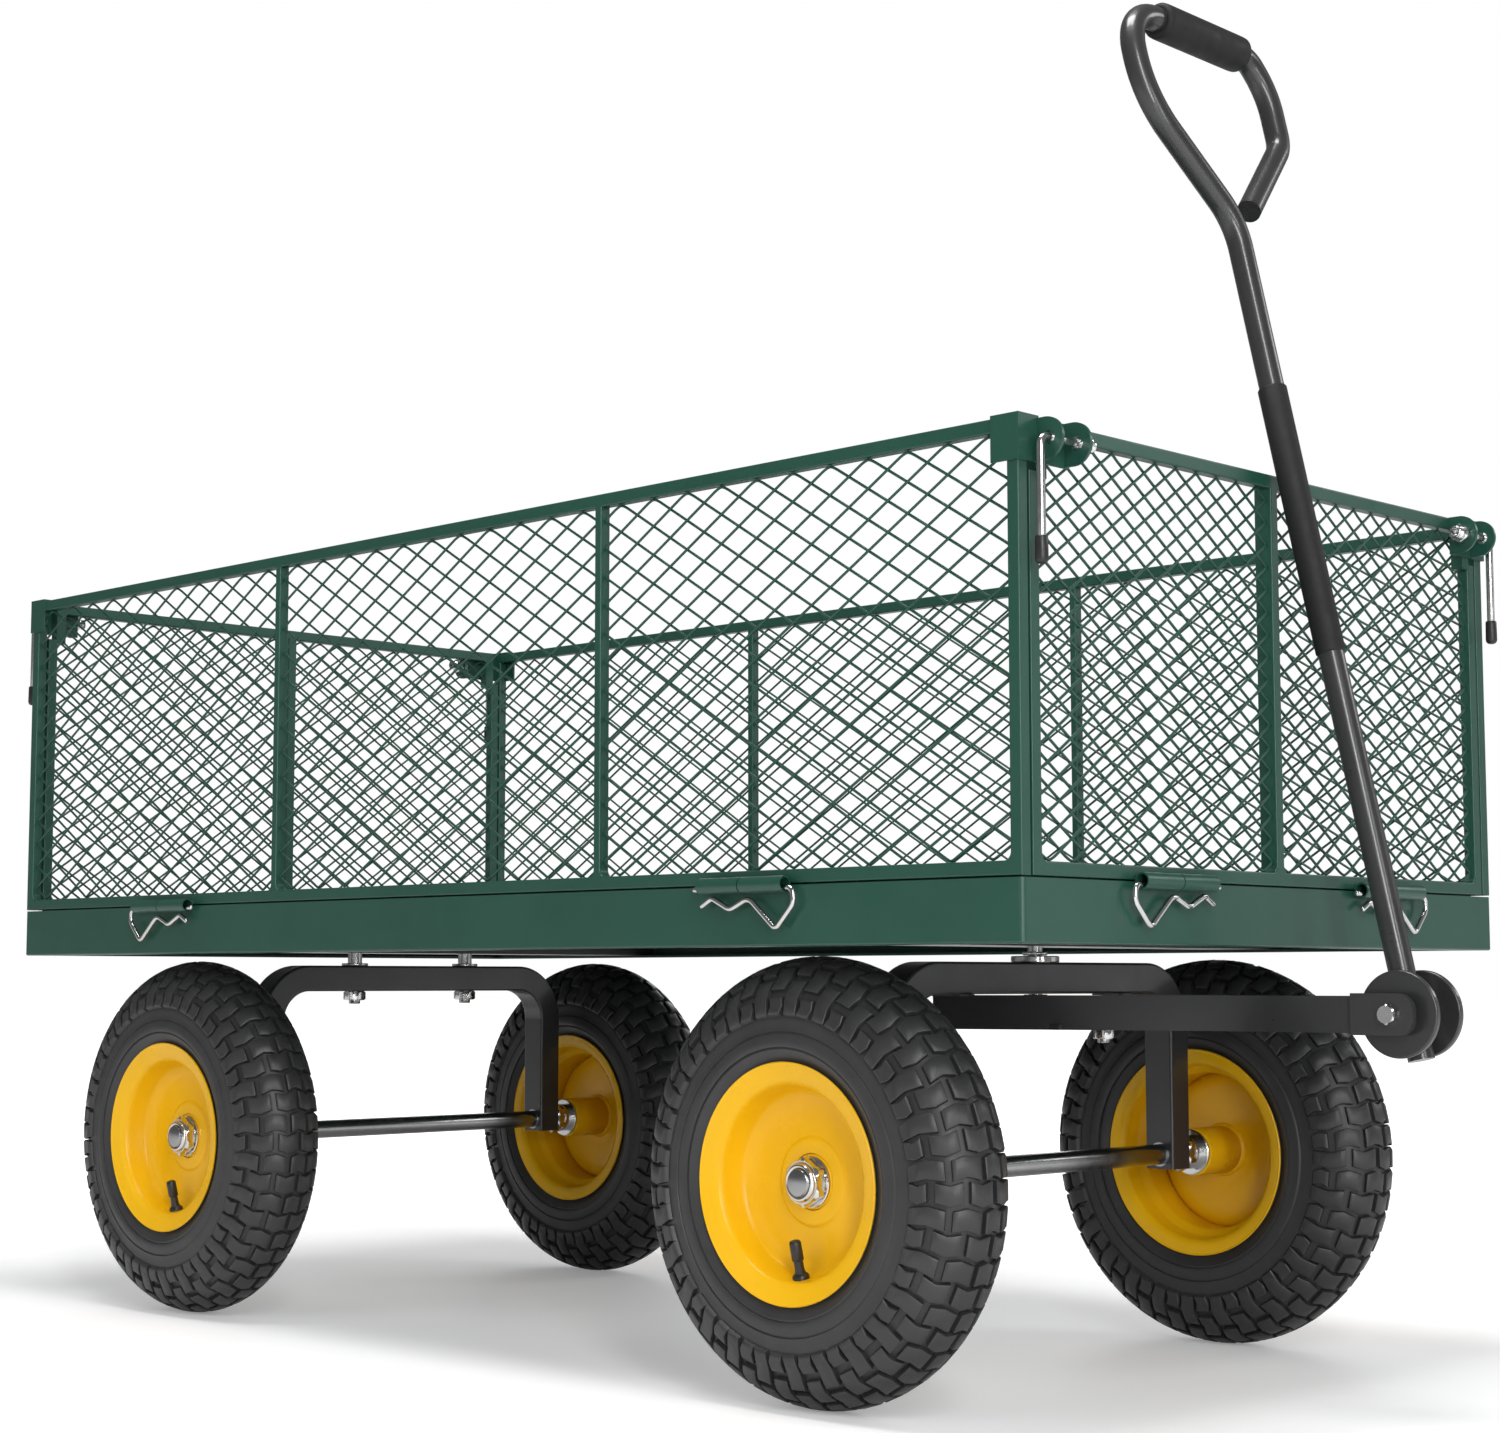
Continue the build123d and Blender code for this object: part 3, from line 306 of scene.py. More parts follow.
def tube(bm, path, radius, sides=16, dome=0.0):
    """Sweep a circle along a path. dome rounds off the ends by that share of the radius."""
    path = [Vector(p) for p in path]
    radii = [radius] * len(path)
    if dome:
        for end in (0, -1):
            step = (path[end] - path[1 if end == 0 else -2]).normalized()
            tip = path[end]
            bend = radius * dome
            extra = [(tip - step * bend, 1.0), (tip - step * bend * 0.3, 0.86), (tip, 0.55)]
            if end == 0:
                path = [p for p, _ in reversed(extra)] + path[1:]
                radii = [radius * s for _, s in reversed(extra)] + radii[1:]
            else:
                path = path[:-1] + [p for p, _ in extra]
                radii = radii[:-1] + [radius * s for _, s in extra]
    tangents = []
    for i in range(len(path)):
        ahead = path[min(i + 1, len(path) - 1)] - path[max(i - 1, 0)]
        tangents.append(ahead.normalized())
    side = tangents[0].orthogonal().normalized()
    rings = []
    for i, point in enumerate(path):
        if i:
            turn = tangents[i - 1].rotation_difference(tangents[i])
            side = turn @ side
        side = (side - tangents[i] * side.dot(tangents[i])).normalized()
        up = tangents[i].cross(side)
        ring = []
        for k in range(sides):
            angle = 2 * math.pi * k / sides
            ring.append(bm.verts.new(point + (side * math.cos(angle) + up * math.sin(angle)) * radii[i]))
        rings.append(ring)
    for one, two in zip(rings, rings[1:]):
        for k in range(sides):
            bm.faces.new((one[k], one[(k + 1) % sides], two[(k + 1) % sides], two[k]))
    bm.faces.new(rings[0][::-1])
    bm.faces.new(rings[-1])


def hex_nut(bm, place, flats, length, bore, chamfer=1.2):
    """Hexagon nut along local X from 0 to length, with chamfered ends and a through hole. Sizes in mm."""
    corner = flats / 2 / math.cos(math.pi / 6)
    steps = 48
    stations = [(0.0, flats / 2 - 0.3), (chamfer, corner + 0.01), (length - chamfer, corner + 0.01),
                (length, flats / 2 - 0.3)]
    rings = []
    for i in range(steps):
        angle = 2 * math.pi * i / steps
        toward = (angle + math.pi / 6) % (math.pi / 3) - math.pi / 6
        flat = flats / 2 / math.cos(toward)
        ring = [Vector((0, bore, 0))] + [Vector((x, min(r, flat), 0)) for x, r in stations]
        ring.append(Vector((length, bore, 0)))
        turn = Matrix.Rotation(angle, 3, "X")
        rings.append([bm.verts.new(place @ (turn @ (p * MM))) for p in ring])
    count = len(rings[0])
    for i in range(steps):
        one, two = rings[i], rings[(i + 1) % steps]
        for k in range(count):
            bm.faces.new((one[k], one[(k + 1) % count], two[(k + 1) % count], two[k]))


# ------------------------------------------------------------------ wheels
TREAD_ROWS = 54
SHOULDER_ARC = 65.0
PAD_SHARE = 0.80
TREAD_DEPTH = 4.4
SIDEWALL_DROP = 3.2
PAD_WAVE = 0.14
LONG_ROW = ((-65, -38), (-32.5, -12), (-7.5, 7.5), (12, 32.5), (38, 65))
SHORT_ROW = ((-65, -52), (-45.5, -25), (-20, -2.3), (2.3, 20), (25, 45.5), (52, 65))
CROWN = ((36.2, 87.5), (41.8, 97), (43.6, 108), (42.8, 120), (39.6, 132), (33.8, 143.5), (25.2, 153),
         (13.5, 159.9), (0, 162.5))


def smooth_curve(points, per_span=12):
    """Catmull-Rom curve through (a, r) points."""
    pts = [Vector(p) for p in points]
    pts = [pts[0] * 2 - pts[1]] + pts + [pts[-1] * 2 - pts[-2]]
    out = []
    for i in range(1, len(pts) - 2):
        p0, p1, p2, p3 = pts[i - 1:i + 3]
        for k in range(per_span):
            t = k / per_span
            out.append(0.5 * ((2 * p1) + (p2 - p0) * t + (2 * p0 - 5 * p1 + 4 * p2 - p3) * t * t
                              + (3 * p1 - p0 - 3 * p2 + p3) * t * t * t))
    out.append(pts[-2])
    return out


class Section:
    """The tyre's outer section, walked by arc length from the crown. Outboard is negative arc."""

    def __init__(self):
        full = list(CROWN) + [(-a, r) for a, r in reversed(CROWN[:-1])]
        self.points = smooth_curve(full)
        self.arcs = [0.0]
        for one, two in zip(self.points, self.points[1:]):
            self.arcs.append(self.arcs[-1] + (two - one).length)
        middle = self.arcs[-1] / 2
        self.arcs = [a - middle for a in self.arcs]

    def at(self, arc):
        """(point, outward normal) at an arc length from the crown."""
        arc = max(self.arcs[0] + 0.01, min(self.arcs[-1] - 0.01, arc))
        i = next(k for k in range(1, len(self.arcs)) if self.arcs[k] >= arc)
        one, two = self.points[i - 1], self.points[i]
        t = (arc - self.arcs[i - 1]) / (self.arcs[i] - self.arcs[i - 1])
        along = (self.points[min(i + 1, len(self.points) - 1)] - self.points[max(i - 2, 0)]).normalized()
        return one.lerp(two, t), Vector((along.y, -along.x))


SECTION = Section()


def carcass_drop(arc):
    """How far the carcass lies below the tread's outer surface."""
    away = abs(arc)
    if away < 59:
        return TREAD_DEPTH
    if away < 68:
        return TREAD_DEPTH + (away - 59) / 9 * (SIDEWALL_DROP - TREAD_DEPTH)
    fade = max(0.0, min(1.0, (away - 72) / (SECTION.arcs[-1] - 82)))
    return SIDEWALL_DROP * (1 - fade * fade * (3 - 2 * fade))


def sidewall_groove(radius):
    """Depth of the two thin moulded rings on the sidewall."""
    depth = 0.0
    for ring in (96.5, 107.5):
        depth = max(depth, 1.3 - abs(radius - ring) * 1.6)
    return max(depth, 0.0)


def tread_point(arc, row, lift):
    """A point on the wheel: arc across the section, row round it, lift above the outer surface (mm)."""
    point, normal = SECTION.at(arc)
    spot = point + normal * lift
    angle = 2 * math.pi * row / TREAD_ROWS
    return Vector((spot.x, spot.y * math.cos(angle), spot.y * math.sin(angle))) * MM


def add_pad(bm, place, start, end, row, wave):
    """One tread block: a bent plate with sloping sides that stands on the carcass."""
    columns = 7
    half = PAD_SHARE / 2
    mid = (start + end) / 2

    def bend(arc):
        share = 1 - abs(arc - mid) / ((end - start) / 2)
        return wave * PAD_WAVE * (share - 0.5)

    def outline(grow, lift_at):
        """Points round the pad, grown outward by grow mm."""
        pitch = 2 * math.pi * 155 / TREAD_ROWS
        lo, hi = start - grow, end + grow
        if grow > 0 and start <= -SHOULDER_ARC + 0.1:
            lo = start - 1.4
        if grow > 0 and end >= SHOULDER_ARC - 0.1:
            hi = end + 1.4
        ring = []
        arcs = [lo + (hi - lo) * k / (columns - 1) for k in range(columns)]
        for arc in arcs:
            ring.append((arc, row + bend(arc) - half - grow / pitch))
        for arc in reversed(arcs):
            ring.append((arc, row + bend(arc) + half + grow / pitch))
        return [bm.verts.new(place @ tread_point(arc, r, lift_at(arc))) for arc, r in ring]

    top = outline(-0.8, lambda arc: 0.0)
    brow = outline(0.0, lambda arc: -0.5)
    foot = outline(0.3, lambda arc: -carcass_drop(arc) - 0.4)
    count = len(top)
    for one, two in ((top, brow), (brow, foot)):
        for k in range(count):
            bm.faces.new((one[k], one[(k + 1) % count], two[(k + 1) % count], two[k]))
    for k in range(columns - 1):
        bm.faces.new((top[k], top[count - 1 - k], top[count - 2 - k], top[k + 1]))


def build_tyre(name, place, body):
    bm = bmesh.new()
    edge = SECTION.arcs[-1]
    arcs = [-edge + 2 * edge * k / 300 for k in range(301)]
    profile = []
    for arc in arcs:
        point, normal = SECTION.at(arc)
        drop = carcass_drop(arc) + (sidewall_groove(point.y) if abs(arc) > 70 else 0)
        spot = point - normal * drop
        profile.append((spot.x * MM, spot.y * MM))
    bead = [(-36.0, 84.0), (-35.4, 77.6), (-29.5, 77.6), (-31, 84), (-35.6, 97), (-37.2, 108), (-36.2, 120),
            (-33, 130.5), (-27.5, 139.5), (-18, 148), (0, 153.5)]
    liner = metres(bead)
    liner += [(-a * MM, r * MM) for a, r in reversed(bead[:-1])]
    lathe(bm, profile + liner, 162, place, closed=True)
    for row in range(TREAD_ROWS):
        layout, wave = (LONG_ROW, 1) if row % 2 else (SHORT_ROW, -1)
        for start, end in layout:
            add_pad(bm, place, start, end, row, wave)
    bmesh.ops.recalc_face_normals(bm, faces=bm.faces)
    make_piece(name, bm, body, "tyre_rubber", (f"{body[:-6]}_tyre",), 38)


RIM_FACE = ((39.0, 84.8), (39.6, 86.0), (38.9, 86.7), (37.6, 86.5), (37.0, 85.0), (36.2, 77.0), (34, 76.3),
            (21, 75.0), (18.5, 73.5), (16.5, 69.5), (14, 68.5))
RIM_INSIDE = ((-14, 66), (-16.5, 67), (-19, 71.2), (-21.5, 72.6), (-33, 73.4), (-36, 74.4), (-38.2, 78.5),
              (-39.0, 84.8))
DISC = ((38.6, 83.6), (36.9, 77.5), (35.6, 74.0), (34.0, 71.6), (31.5, 70.2), (28, 69.4), (16, 67.0),
        (14.2, 66.0), (12.6, 64.6), (10.6, 61.8), (9.3, 58.6), (8.6, 55.0), (8.4, 51.0), (8.4, 34.0),
        (8.7, 32.6), (9.7, 31.6), (10.4, 30.4), (10.5, 28.5), (10.4, 20.5))
DISC_BACK = ((5.9, 20.5), (5.9, 28.5), (5.6, 30.6), (5.2, 33), (5.2, 52), (5.4, 56), (6.5, 60.6), (8.6, 64.2),
             (11.2, 66.1))


def build_rim(name, place, body):
    bm = bmesh.new()
    outer = [(a, r) for a, r in RIM_FACE] + [(-a, r) for a, r in reversed(RIM_FACE)]
    inner = [(a, r) for a, r in reversed(RIM_INSIDE)]
    section = outer + inner + list(reversed(DISC_BACK)) + list(reversed(DISC))
    lathe(bm, metres(section), 144, place, closed=True)
    hub = [(-41, 15.2), (-41, 19.2), (-40.4, 20), (10.0, 20), (10.8, 19.4), (11, 18.2), (11, 15.2)]
    lathe(bm, metres(hub), 96, place, closed=True)
    weld = [(5.8, 19.5), (5.8, 22.8), (4.6, 22.2), (3.4, 20.9), (3.0, 19.5)]
    lathe(bm, metres(weld), 96, place, closed=True)
    bmesh.ops.recalc_face_normals(bm, faces=bm.faces)
    make_piece(name, bm, body, "yellow_paint", (f"{body[:-6]}_rim",), 50)


def build_bearings(name, place, body):
    """Flat-faced bearing cups, each with its seal and inner ring."""
    bm = bmesh.new()
    for start, way in ((-41, -1), (10, 1)):
        ring = [(0, 10.15), (0, 12.4), (-0.5, 12.9), (-0.5, 15.2), (0, 15.8), (0, 17.9), (-8, 17.9),
                (-8, 10.15)]
        profile = [((start + way * (a + 0.4)) * MM, r * MM) for a, r in ring]
        lathe(bm, profile, 72, place, closed=True)
    bmesh.ops.recalc_face_normals(bm, faces=bm.faces)
    make_piece(name, bm, body, "bearing_steel", (f"{body[:-6]}_bearings",), 35)


VALVE_FOOT, VALVE_TIP = (22.0, 0, -66.0), (28.4, 0, -40.5)


def build_valve(name, place, body):
    """Rubber snap-in stem with a domed cap."""
    bm = bmesh.new()
    foot, tip = Vector(VALVE_FOOT) * MM, Vector(VALVE_TIP) * MM
    axis = (tip - foot).normalized()
    turn = Vector((1, 0, 0)).rotation_difference(axis).to_matrix().to_4x4()
    stand = place @ Matrix.Translation(foot) @ turn
    length = (tip - foot).length / MM
    profile = [(-2, 0.01), (-2, 6.2), (0, 6.2), (1.4, 5.2), (2.4, 4.0), (6, 3.5), (11.2, 3.4), (11.6, 4.1),
               (12, 4.4), (length - 1.6, 4.3), (length - 0.5, 3.7), (length, 2.5), (length, 0.01)]
    lathe(bm, metres(profile), 40, stand)
    bmesh.ops.remove_doubles(bm, verts=bm.verts, dist=0.00002)
    bmesh.ops.recalc_face_normals(bm, faces=bm.faces)
    make_piece(name, bm, body, "valve_rubber", (f"{body[:-6]}_valve",), 40)


# Along each axle, in mm from the middle of the cart
AXLE_SHOULDER = 163
INNER_NUT = 188
SPACER_START, SPACER_END = 198, 206.2
OUTER_WASHER = 260.8
WASHER_THICKNESS = 2.5
AXLE_BORE = 10.1


def washer_section(start):
    """An axle washer with eased edges, from this station outward. Sizes in mm."""
    end = start + WASHER_THICKNESS
    return [(start, AXLE_BORE), (start, 18.4), (start + 0.5, 19),
            (end - 0.5, 19), (end, 18.4), (end, AXLE_BORE)]


def build_axle_hardware():
    """Spacers, washers and collared lock nuts, and the axles they sit on."""
    for end_name, body in (("front", "steering"), ("rear", "bed")):
        low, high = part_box(f"{end_name}_axle")
        centre_x, centre_z = (low.x + high.x) / 2, (low.z + high.z) / 2
        half = high.y / MM
        bm, shaft = bmesh.new(), bmesh.new()
        for side in (-1, 1):
            place = Matrix.Translation((centre_x, 0, centre_z)) @ Matrix.Rotation(side * math.pi / 2, 4, "Z")
            spacer = [(SPACER_START, AXLE_BORE), (SPACER_START, 14),
                      (SPACER_END, 14), (SPACER_END, AXLE_BORE)]
            collar = [(271.6, AXLE_BORE), (271.6, 14.4), (272.6, 14.4), (273.6, 13.9), (274.6, 13.0),
                      (275.0, 11.9), (274.8, 10.9), (274.2, AXLE_BORE)]
            for profile in (spacer, washer_section(SPACER_END), washer_section(OUTER_WASHER), collar):
                lathe(bm, metres(profile), 72, place, closed=True)
            lock_nut = place @ Matrix.Translation(((OUTER_WASHER + WASHER_THICKNESS) * MM, 0, 0))
            hex_nut(bm, lock_nut, 32, 8.4, AXLE_BORE, 1.4)
            hex_nut(bm, place @ Matrix.Translation((INNER_NUT * MM, 0, 0)), 27, 10, AXLE_BORE, 1.4)
            thread = [(AXLE_SHOULDER, 8.5), (AXLE_SHOULDER, 10.0)]
            turns = 5
            for k in range(turns):
                start = half - 6.2 + k
                thread += [(start, 10.0), (start + 0.5, 9.5)]
            thread += [(half - 1.0, 10.0), (half - 0.3, 9.5), (half, 8.8), (half, 0.01)]
            lathe(shaft, metres(thread), 64, place)
        across = Matrix.Translation((centre_x, 0, centre_z)) @ Matrix.Rotation(math.pi / 2, 4, "Z")
        lathe(shaft, [(-AXLE_SHOULDER * MM, 8.5 * MM), (AXLE_SHOULDER * MM, 8.5 * MM)], 64, across)
        bmesh.ops.remove_doubles(shaft, verts=shaft.verts, dist=0.00002)
        for made in (bm, shaft):
            bmesh.ops.recalc_face_normals(made, faces=made.faces)
        make_piece(f"{end_name}_lock_nuts", bm, body, "zinc", (f"{end_name}_axle_nuts",), 28)
        make_piece(f"{end_name}_axle_rod", shaft, body, "dark_steel", (f"{end_name}_axle",), 28)


def stand_at(x, y, z, up=True):
    """A place whose local X axis points up (or down) the cart's vertical, at a point in metres."""
    return Matrix.Translation((x, y, z)) @ Matrix.Rotation(-math.pi / 2 if up else math.pi / 2, 4, "Y")


def bolt_end(bm, place, length, radius):
    """A short threaded end that sticks out of a nut."""
    profile = [(0, radius)]
    for k in range(int(length - 1)):
        profile += [(k + 0.25, radius), (k + 0.75, radius - 0.45)]
    profile += [(length - 0.8, radius), (length, radius - 0.8), (length, 0.01)]
    lathe(bm, metres(profile), 32, place)


CATCH_SEAT = 254.5  # mm from the middle of the cart to where each catch nut sits


def build_fasteners():
    """Kingpin, rear studs, brace bolt, handle pivot bolt and the catch nuts."""
    low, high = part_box("kingpin")
    washer_low, washer_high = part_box("thrust_washer")
    beam_top = washer_low.z
    x = (washer_low.x + washer_high.x) / 2
    bm = bmesh.new()
    column = [(low.z / MM + 10, 5.5), (washer_high.z / MM + 0.4, 5.5), (washer_high.z / MM + 0.4, 6.0),
              (high.z / MM - 30, 6.0)]
    lathe(bm, metres(column), 40, stand_at(x, 0, 0))
    nut_low = low.z + 3 * MM
    hex_nut(bm, stand_at(x, 0, nut_low), 19, 10.5, 5.5, 1.1)
    bolt_end(bm, stand_at(x, 0, nut_low, up=False), 3, 5.5)
    hex_nut(bm, stand_at(x, 0, washer_high.z + 0.4 * MM), 19, 3.0, 6.0, 0.8)
    bmesh.ops.recalc_face_normals(bm, faces=bm.faces)
    make_piece("kingpin_bolt", bm, "bed", "zinc", ("kingpin",), 28)

    bm = bmesh.new()
    top = (washer_high.z - beam_top) / MM
    plate = [(0, 5.9), (0, 18.6), (0.6, 19.2), (top - 0.7, 19.2), (top, 18.5), (top, 5.9)]
    lathe(bm, metres(plate), 64, stand_at(x, 0, beam_top), closed=True)
    bmesh.ops.recalc_face_normals(bm, faces=bm.faces)
    make_piece("kingpin_washer", bm, "steering", "zinc", ("thrust_washer",), 28)

    low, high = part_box("rear_frame_bolts")
    x = (low.x + high.x) / 2
    bm = bmesh.new()
    for side in (-1, 1):
        y = side * 0.070
        nut_low = low.z + 3.5 * MM
        hex_nut(bm, stand_at(x, y, nut_low), 19, 9, 6.0, 1.1)
        bolt_end(bm, stand_at(x, y, nut_low, up=False), 3.5, 6.0)
        shoulder = [(beam_top / MM, 6.0), (beam_top / MM, 7.0), (beam_top / MM + 12.4, 7.0)]
        lathe(bm, metres(shoulder), 40, stand_at(x, y, 0))
        collar = [(0, 6.5), (0, 12.5), (0.5, 13), (2, 13), (2.5, 12.5), (2.5, 6.5)]
        lathe(bm, metres(collar), 48, stand_at(x, y, beam_top), closed=True)
    bmesh.ops.recalc_face_normals(bm, faces=bm.faces)
    make_piece("rear_frame_studs", bm, "bed", "zinc", ("rear_frame_bolts",), 28)

    low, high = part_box("drawbar_brace_bolt")
    x = (low.x + high.x) / 2
    bm = bmesh.new()
    hex_nut(bm, stand_at(x, 0, low.z + 3 * MM), 16, 8, 5.0, 1.0)
    bolt_end(bm, stand_at(x, 0, low.z + 3 * MM, up=False), 3, 5.0)
    hex_nut(bm, stand_at(x, 0, high.z - 6 * MM), 16, 6, 0.2, 1.0)
    bmesh.ops.recalc_face_normals(bm, faces=bm.faces)
    make_piece("brace_bolt", bm, "steering", "zinc", ("drawbar_brace_bolt",), 28)

    bm = bmesh.new()
    outer = 30.0
    head = Matrix.Translation((PIVOT.x, 0, PIVOT.z)) @ Matrix.Rotation(-math.pi / 2, 4, "Z")
    hex_nut(bm, head @ Matrix.Translation((outer * MM, 0, 0)), 13, 5.5, 0.2, 0.9)
    far = Matrix.Translation((PIVOT.x, 0, PIVOT.z)) @ Matrix.Rotation(math.pi / 2, 4, "Z")
    hex_nut(bm, far @ Matrix.Translation((outer * MM, 0, 0)), 13, 6.5, 4.0, 0.9)
    bolt_end(bm, far @ Matrix.Translation(((outer + 6) * MM, 0, 0)), 3, 4.0)
    lathe(bm, [(-outer * MM, 4 * MM), (outer * MM, 4 * MM)], 24, head)
    bmesh.ops.recalc_face_normals(bm, faces=bm.faces)
    make_piece("pivot_bolt", bm, "steering", "zinc", ("handle_pivot_bolt",), 28)

    for end_name, end in ENDS:
        low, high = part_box(f"{end_name}_gate_catches")
        x, z = (low.x + high.x) / 2, (low.z + high.z) / 2
        bm = bmesh.new()
        for side in (-1, 1):
            seat = Matrix.Translation((x, side * CATCH_SEAT * MM, z))
            inward = seat @ Matrix.Rotation(-side * math.pi / 2, 4, "Z")
            hex_nut(bm, inward, 14, 7, 5.0, 1.0)
            stud = [(-2.5, 3.4), (-2.5, 5), (7.3, 5)]
            for k in range(5):
                stud += [(k + 7.7, 4.6), (k + 8.2, 5)]
            stud += [(13.4, 5), (14, 4.4), (14, 3.4)]
            lathe(bm, metres(stud), 40, inward, closed=True)
        bmesh.ops.recalc_face_normals(bm, faces=bm.faces)
        body = "bed" if end > 0 else "rear_gate"
        make_piece(f"{end_name}_catch_nuts", bm, body, "zinc", (f"{end_name}_gate_catches",), 28)


def soften_edges():
    """A fine rolled edge on the CAD sheet and bar parts, so that their corners catch the light."""
    widths = {"bed_frame": 0.9, "drawbar": 0.6, "clevis": 0.6, "right_gate_caps": 0.4, "left_gate_caps": 0.4}
    for name, width in widths.items():
        bevel = nodes[name].modifiers.new("rolled_edge", "BEVEL")
        bevel.width = width * MM
        bevel.segments = 2
        bevel.limit_method = "ANGLE"
        bevel.angle_limit = math.radians(50)
        bevel.harden_normals = True


def build_wheels():
    for end_name, _ in ENDS:
        for side_name, side in SIDES:
            body = f"{end_name}_{side_name}_wheel"
            centre = joint_point(f"{body}_spin")
            place = Matrix.Translation(centre) @ Matrix.Rotation(side * math.pi / 2, 4, "Z")
            stem = f"{end_name}_{side_name}"
            build_tyre(f"{stem}_treaded_tyre", place, body)
            build_rim(f"{stem}_pressed_rim", place, body)
            build_bearings(f"{stem}_bearing_cups", place, body)
            build_valve(f"{stem}_valve_stem", place, body)


# ------------------------------------------------------------------ gate mesh
WIRE_RADIUS = 1.05
SIDE_COUNTS = (11, 13)
END_COUNTS = (11, 17)


def mesh_wires(bm, x0, x1, z0, z1, counts, put):
    """Crossing wires that bounce off the borders of one bay. put maps (x, depth, z) to the cart."""
    columns, rows = counts
    step_x, step_z = (x1 - x0) / columns, (z1 - z0) / rows
    slope = math.hypot(step_x, step_z)
    toward = Vector((step_x, step_z)) / slope

    def wire(i0, j0, way):
        """From a border point in half steps, up the given way until the next border."""
        span = min(rows * 2 - j0, (columns * 2 - i0) if way > 0 else i0)
        i1, j1 = i0 + way * span, j0 + span
        start = Vector((x0 + i0 * step_x / 2, z0 + j0 * step_z / 2))
        end = Vector((x0 + i1 * step_x / 2, z0 + j1 * step_z / 2))
        heading = Vector((toward.x * way, toward.y))
        depth = -0.85 * way * MM

        def border(point, inward, i, j):
            """Points of the loop where a wire turns back at the border."""
            across = Vector((0, inward.y)) if j in (0, rows * 2) else Vector((inward.x, 0))
            rise = 1.1 * MM
            apex = point + across.normalized() * rise
            knee = point + inward * (rise / across.length)
            leave = point + inward * 7.5 * MM
            loop = []
            for k in range(5):
                t = k / 4
                spot = apex * (1 - t) ** 2 + knee * 2 * t * (1 - t) + leave * t * t
                loop.append((spot, depth * t))
            return loop

        head = border(start, heading, i0, j0)
        tail = border(end, -heading, i1, j1)
        path = [put(p.x, d, p.y) for p, d in head] + [put(p.x, d, p.y) for p, d in reversed(tail)]
        tube(bm, path, WIRE_RADIUS * MM, 8)

    for j in range(1, rows * 2, 2):
        wire(0, j, 1)
        wire(columns * 2, j, -1)
    for i in range(1, columns * 2, 2):
        wire(i, 0, 1)
        wire(i, 0, -1)


def gate_bays(length, stiles, bar, stile):
    edges = [-length / 2 + bar]
    for x in stiles:
        edges += [x - stile / 2, x + stile / 2]
    edges.append(length / 2 - bar)
    return list(zip(edges[0::2], edges[1::2]))


def build_gate_mesh():
    bar = 10 * MM
    specs = (
        ("right_gate", "right_gate", "x", -1, (-0.212, 0.212), 7 * MM, SIDE_COUNTS),
        ("left_gate", "left_gate", "x", 1, (-0.212, 0.212), 7 * MM, SIDE_COUNTS),
        ("front_gate", "bed", "y", 1, (0.0,), 9 * MM, END_COUNTS),
        ("rear_gate", "rear_gate", "y", -1, (0.0,), 9 * MM, END_COUNTS),
    )
    for name, body, along, way, stiles, stile, counts in specs:
        low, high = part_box(f"{name}_mesh")
        if along == "x":
            length = high.x - low.x + 2 * bar
            centre, depth = (low.x + high.x) / 2, (low.y + high.y) / 2

            def put(x, d, z, centre=centre, depth=depth, way=way):
                return Vector((centre + x, depth - way * d, z))
        else:
            length = high.y - low.y + 2 * bar
            centre, depth = (low.y + high.y) / 2, (low.x + high.x) / 2

            def put(x, d, z, centre=centre, depth=depth, way=way):
                return Vector((depth - way * d, centre + x, z))
        bm = bmesh.new()
        for x0, x1 in gate_bays(length, stiles, bar, stile):
            mesh_wires(bm, x0, x1, low.z, high.z, counts, put)
        bmesh.ops.recalc_face_normals(bm, faces=bm.faces)
        make_piece(f"{name}_wire_mesh", bm, body, "green_mesh", (f"{name}_mesh",), None)


# ------------------------------------------------------------------ handle
HANDLE_LEAN = 12.7
TUBE_RADIUS = 9.5
SLEEVE = (268, 478.5, 10.9)
GRIP = (-48, 61.5, 14.2)
LOOP_TOP = 775


def handle_place():
    return Matrix.Translation(PIVOT) @ Matrix.Rotation(math.radians(-HANDLE_LEAN), 4, "Y")


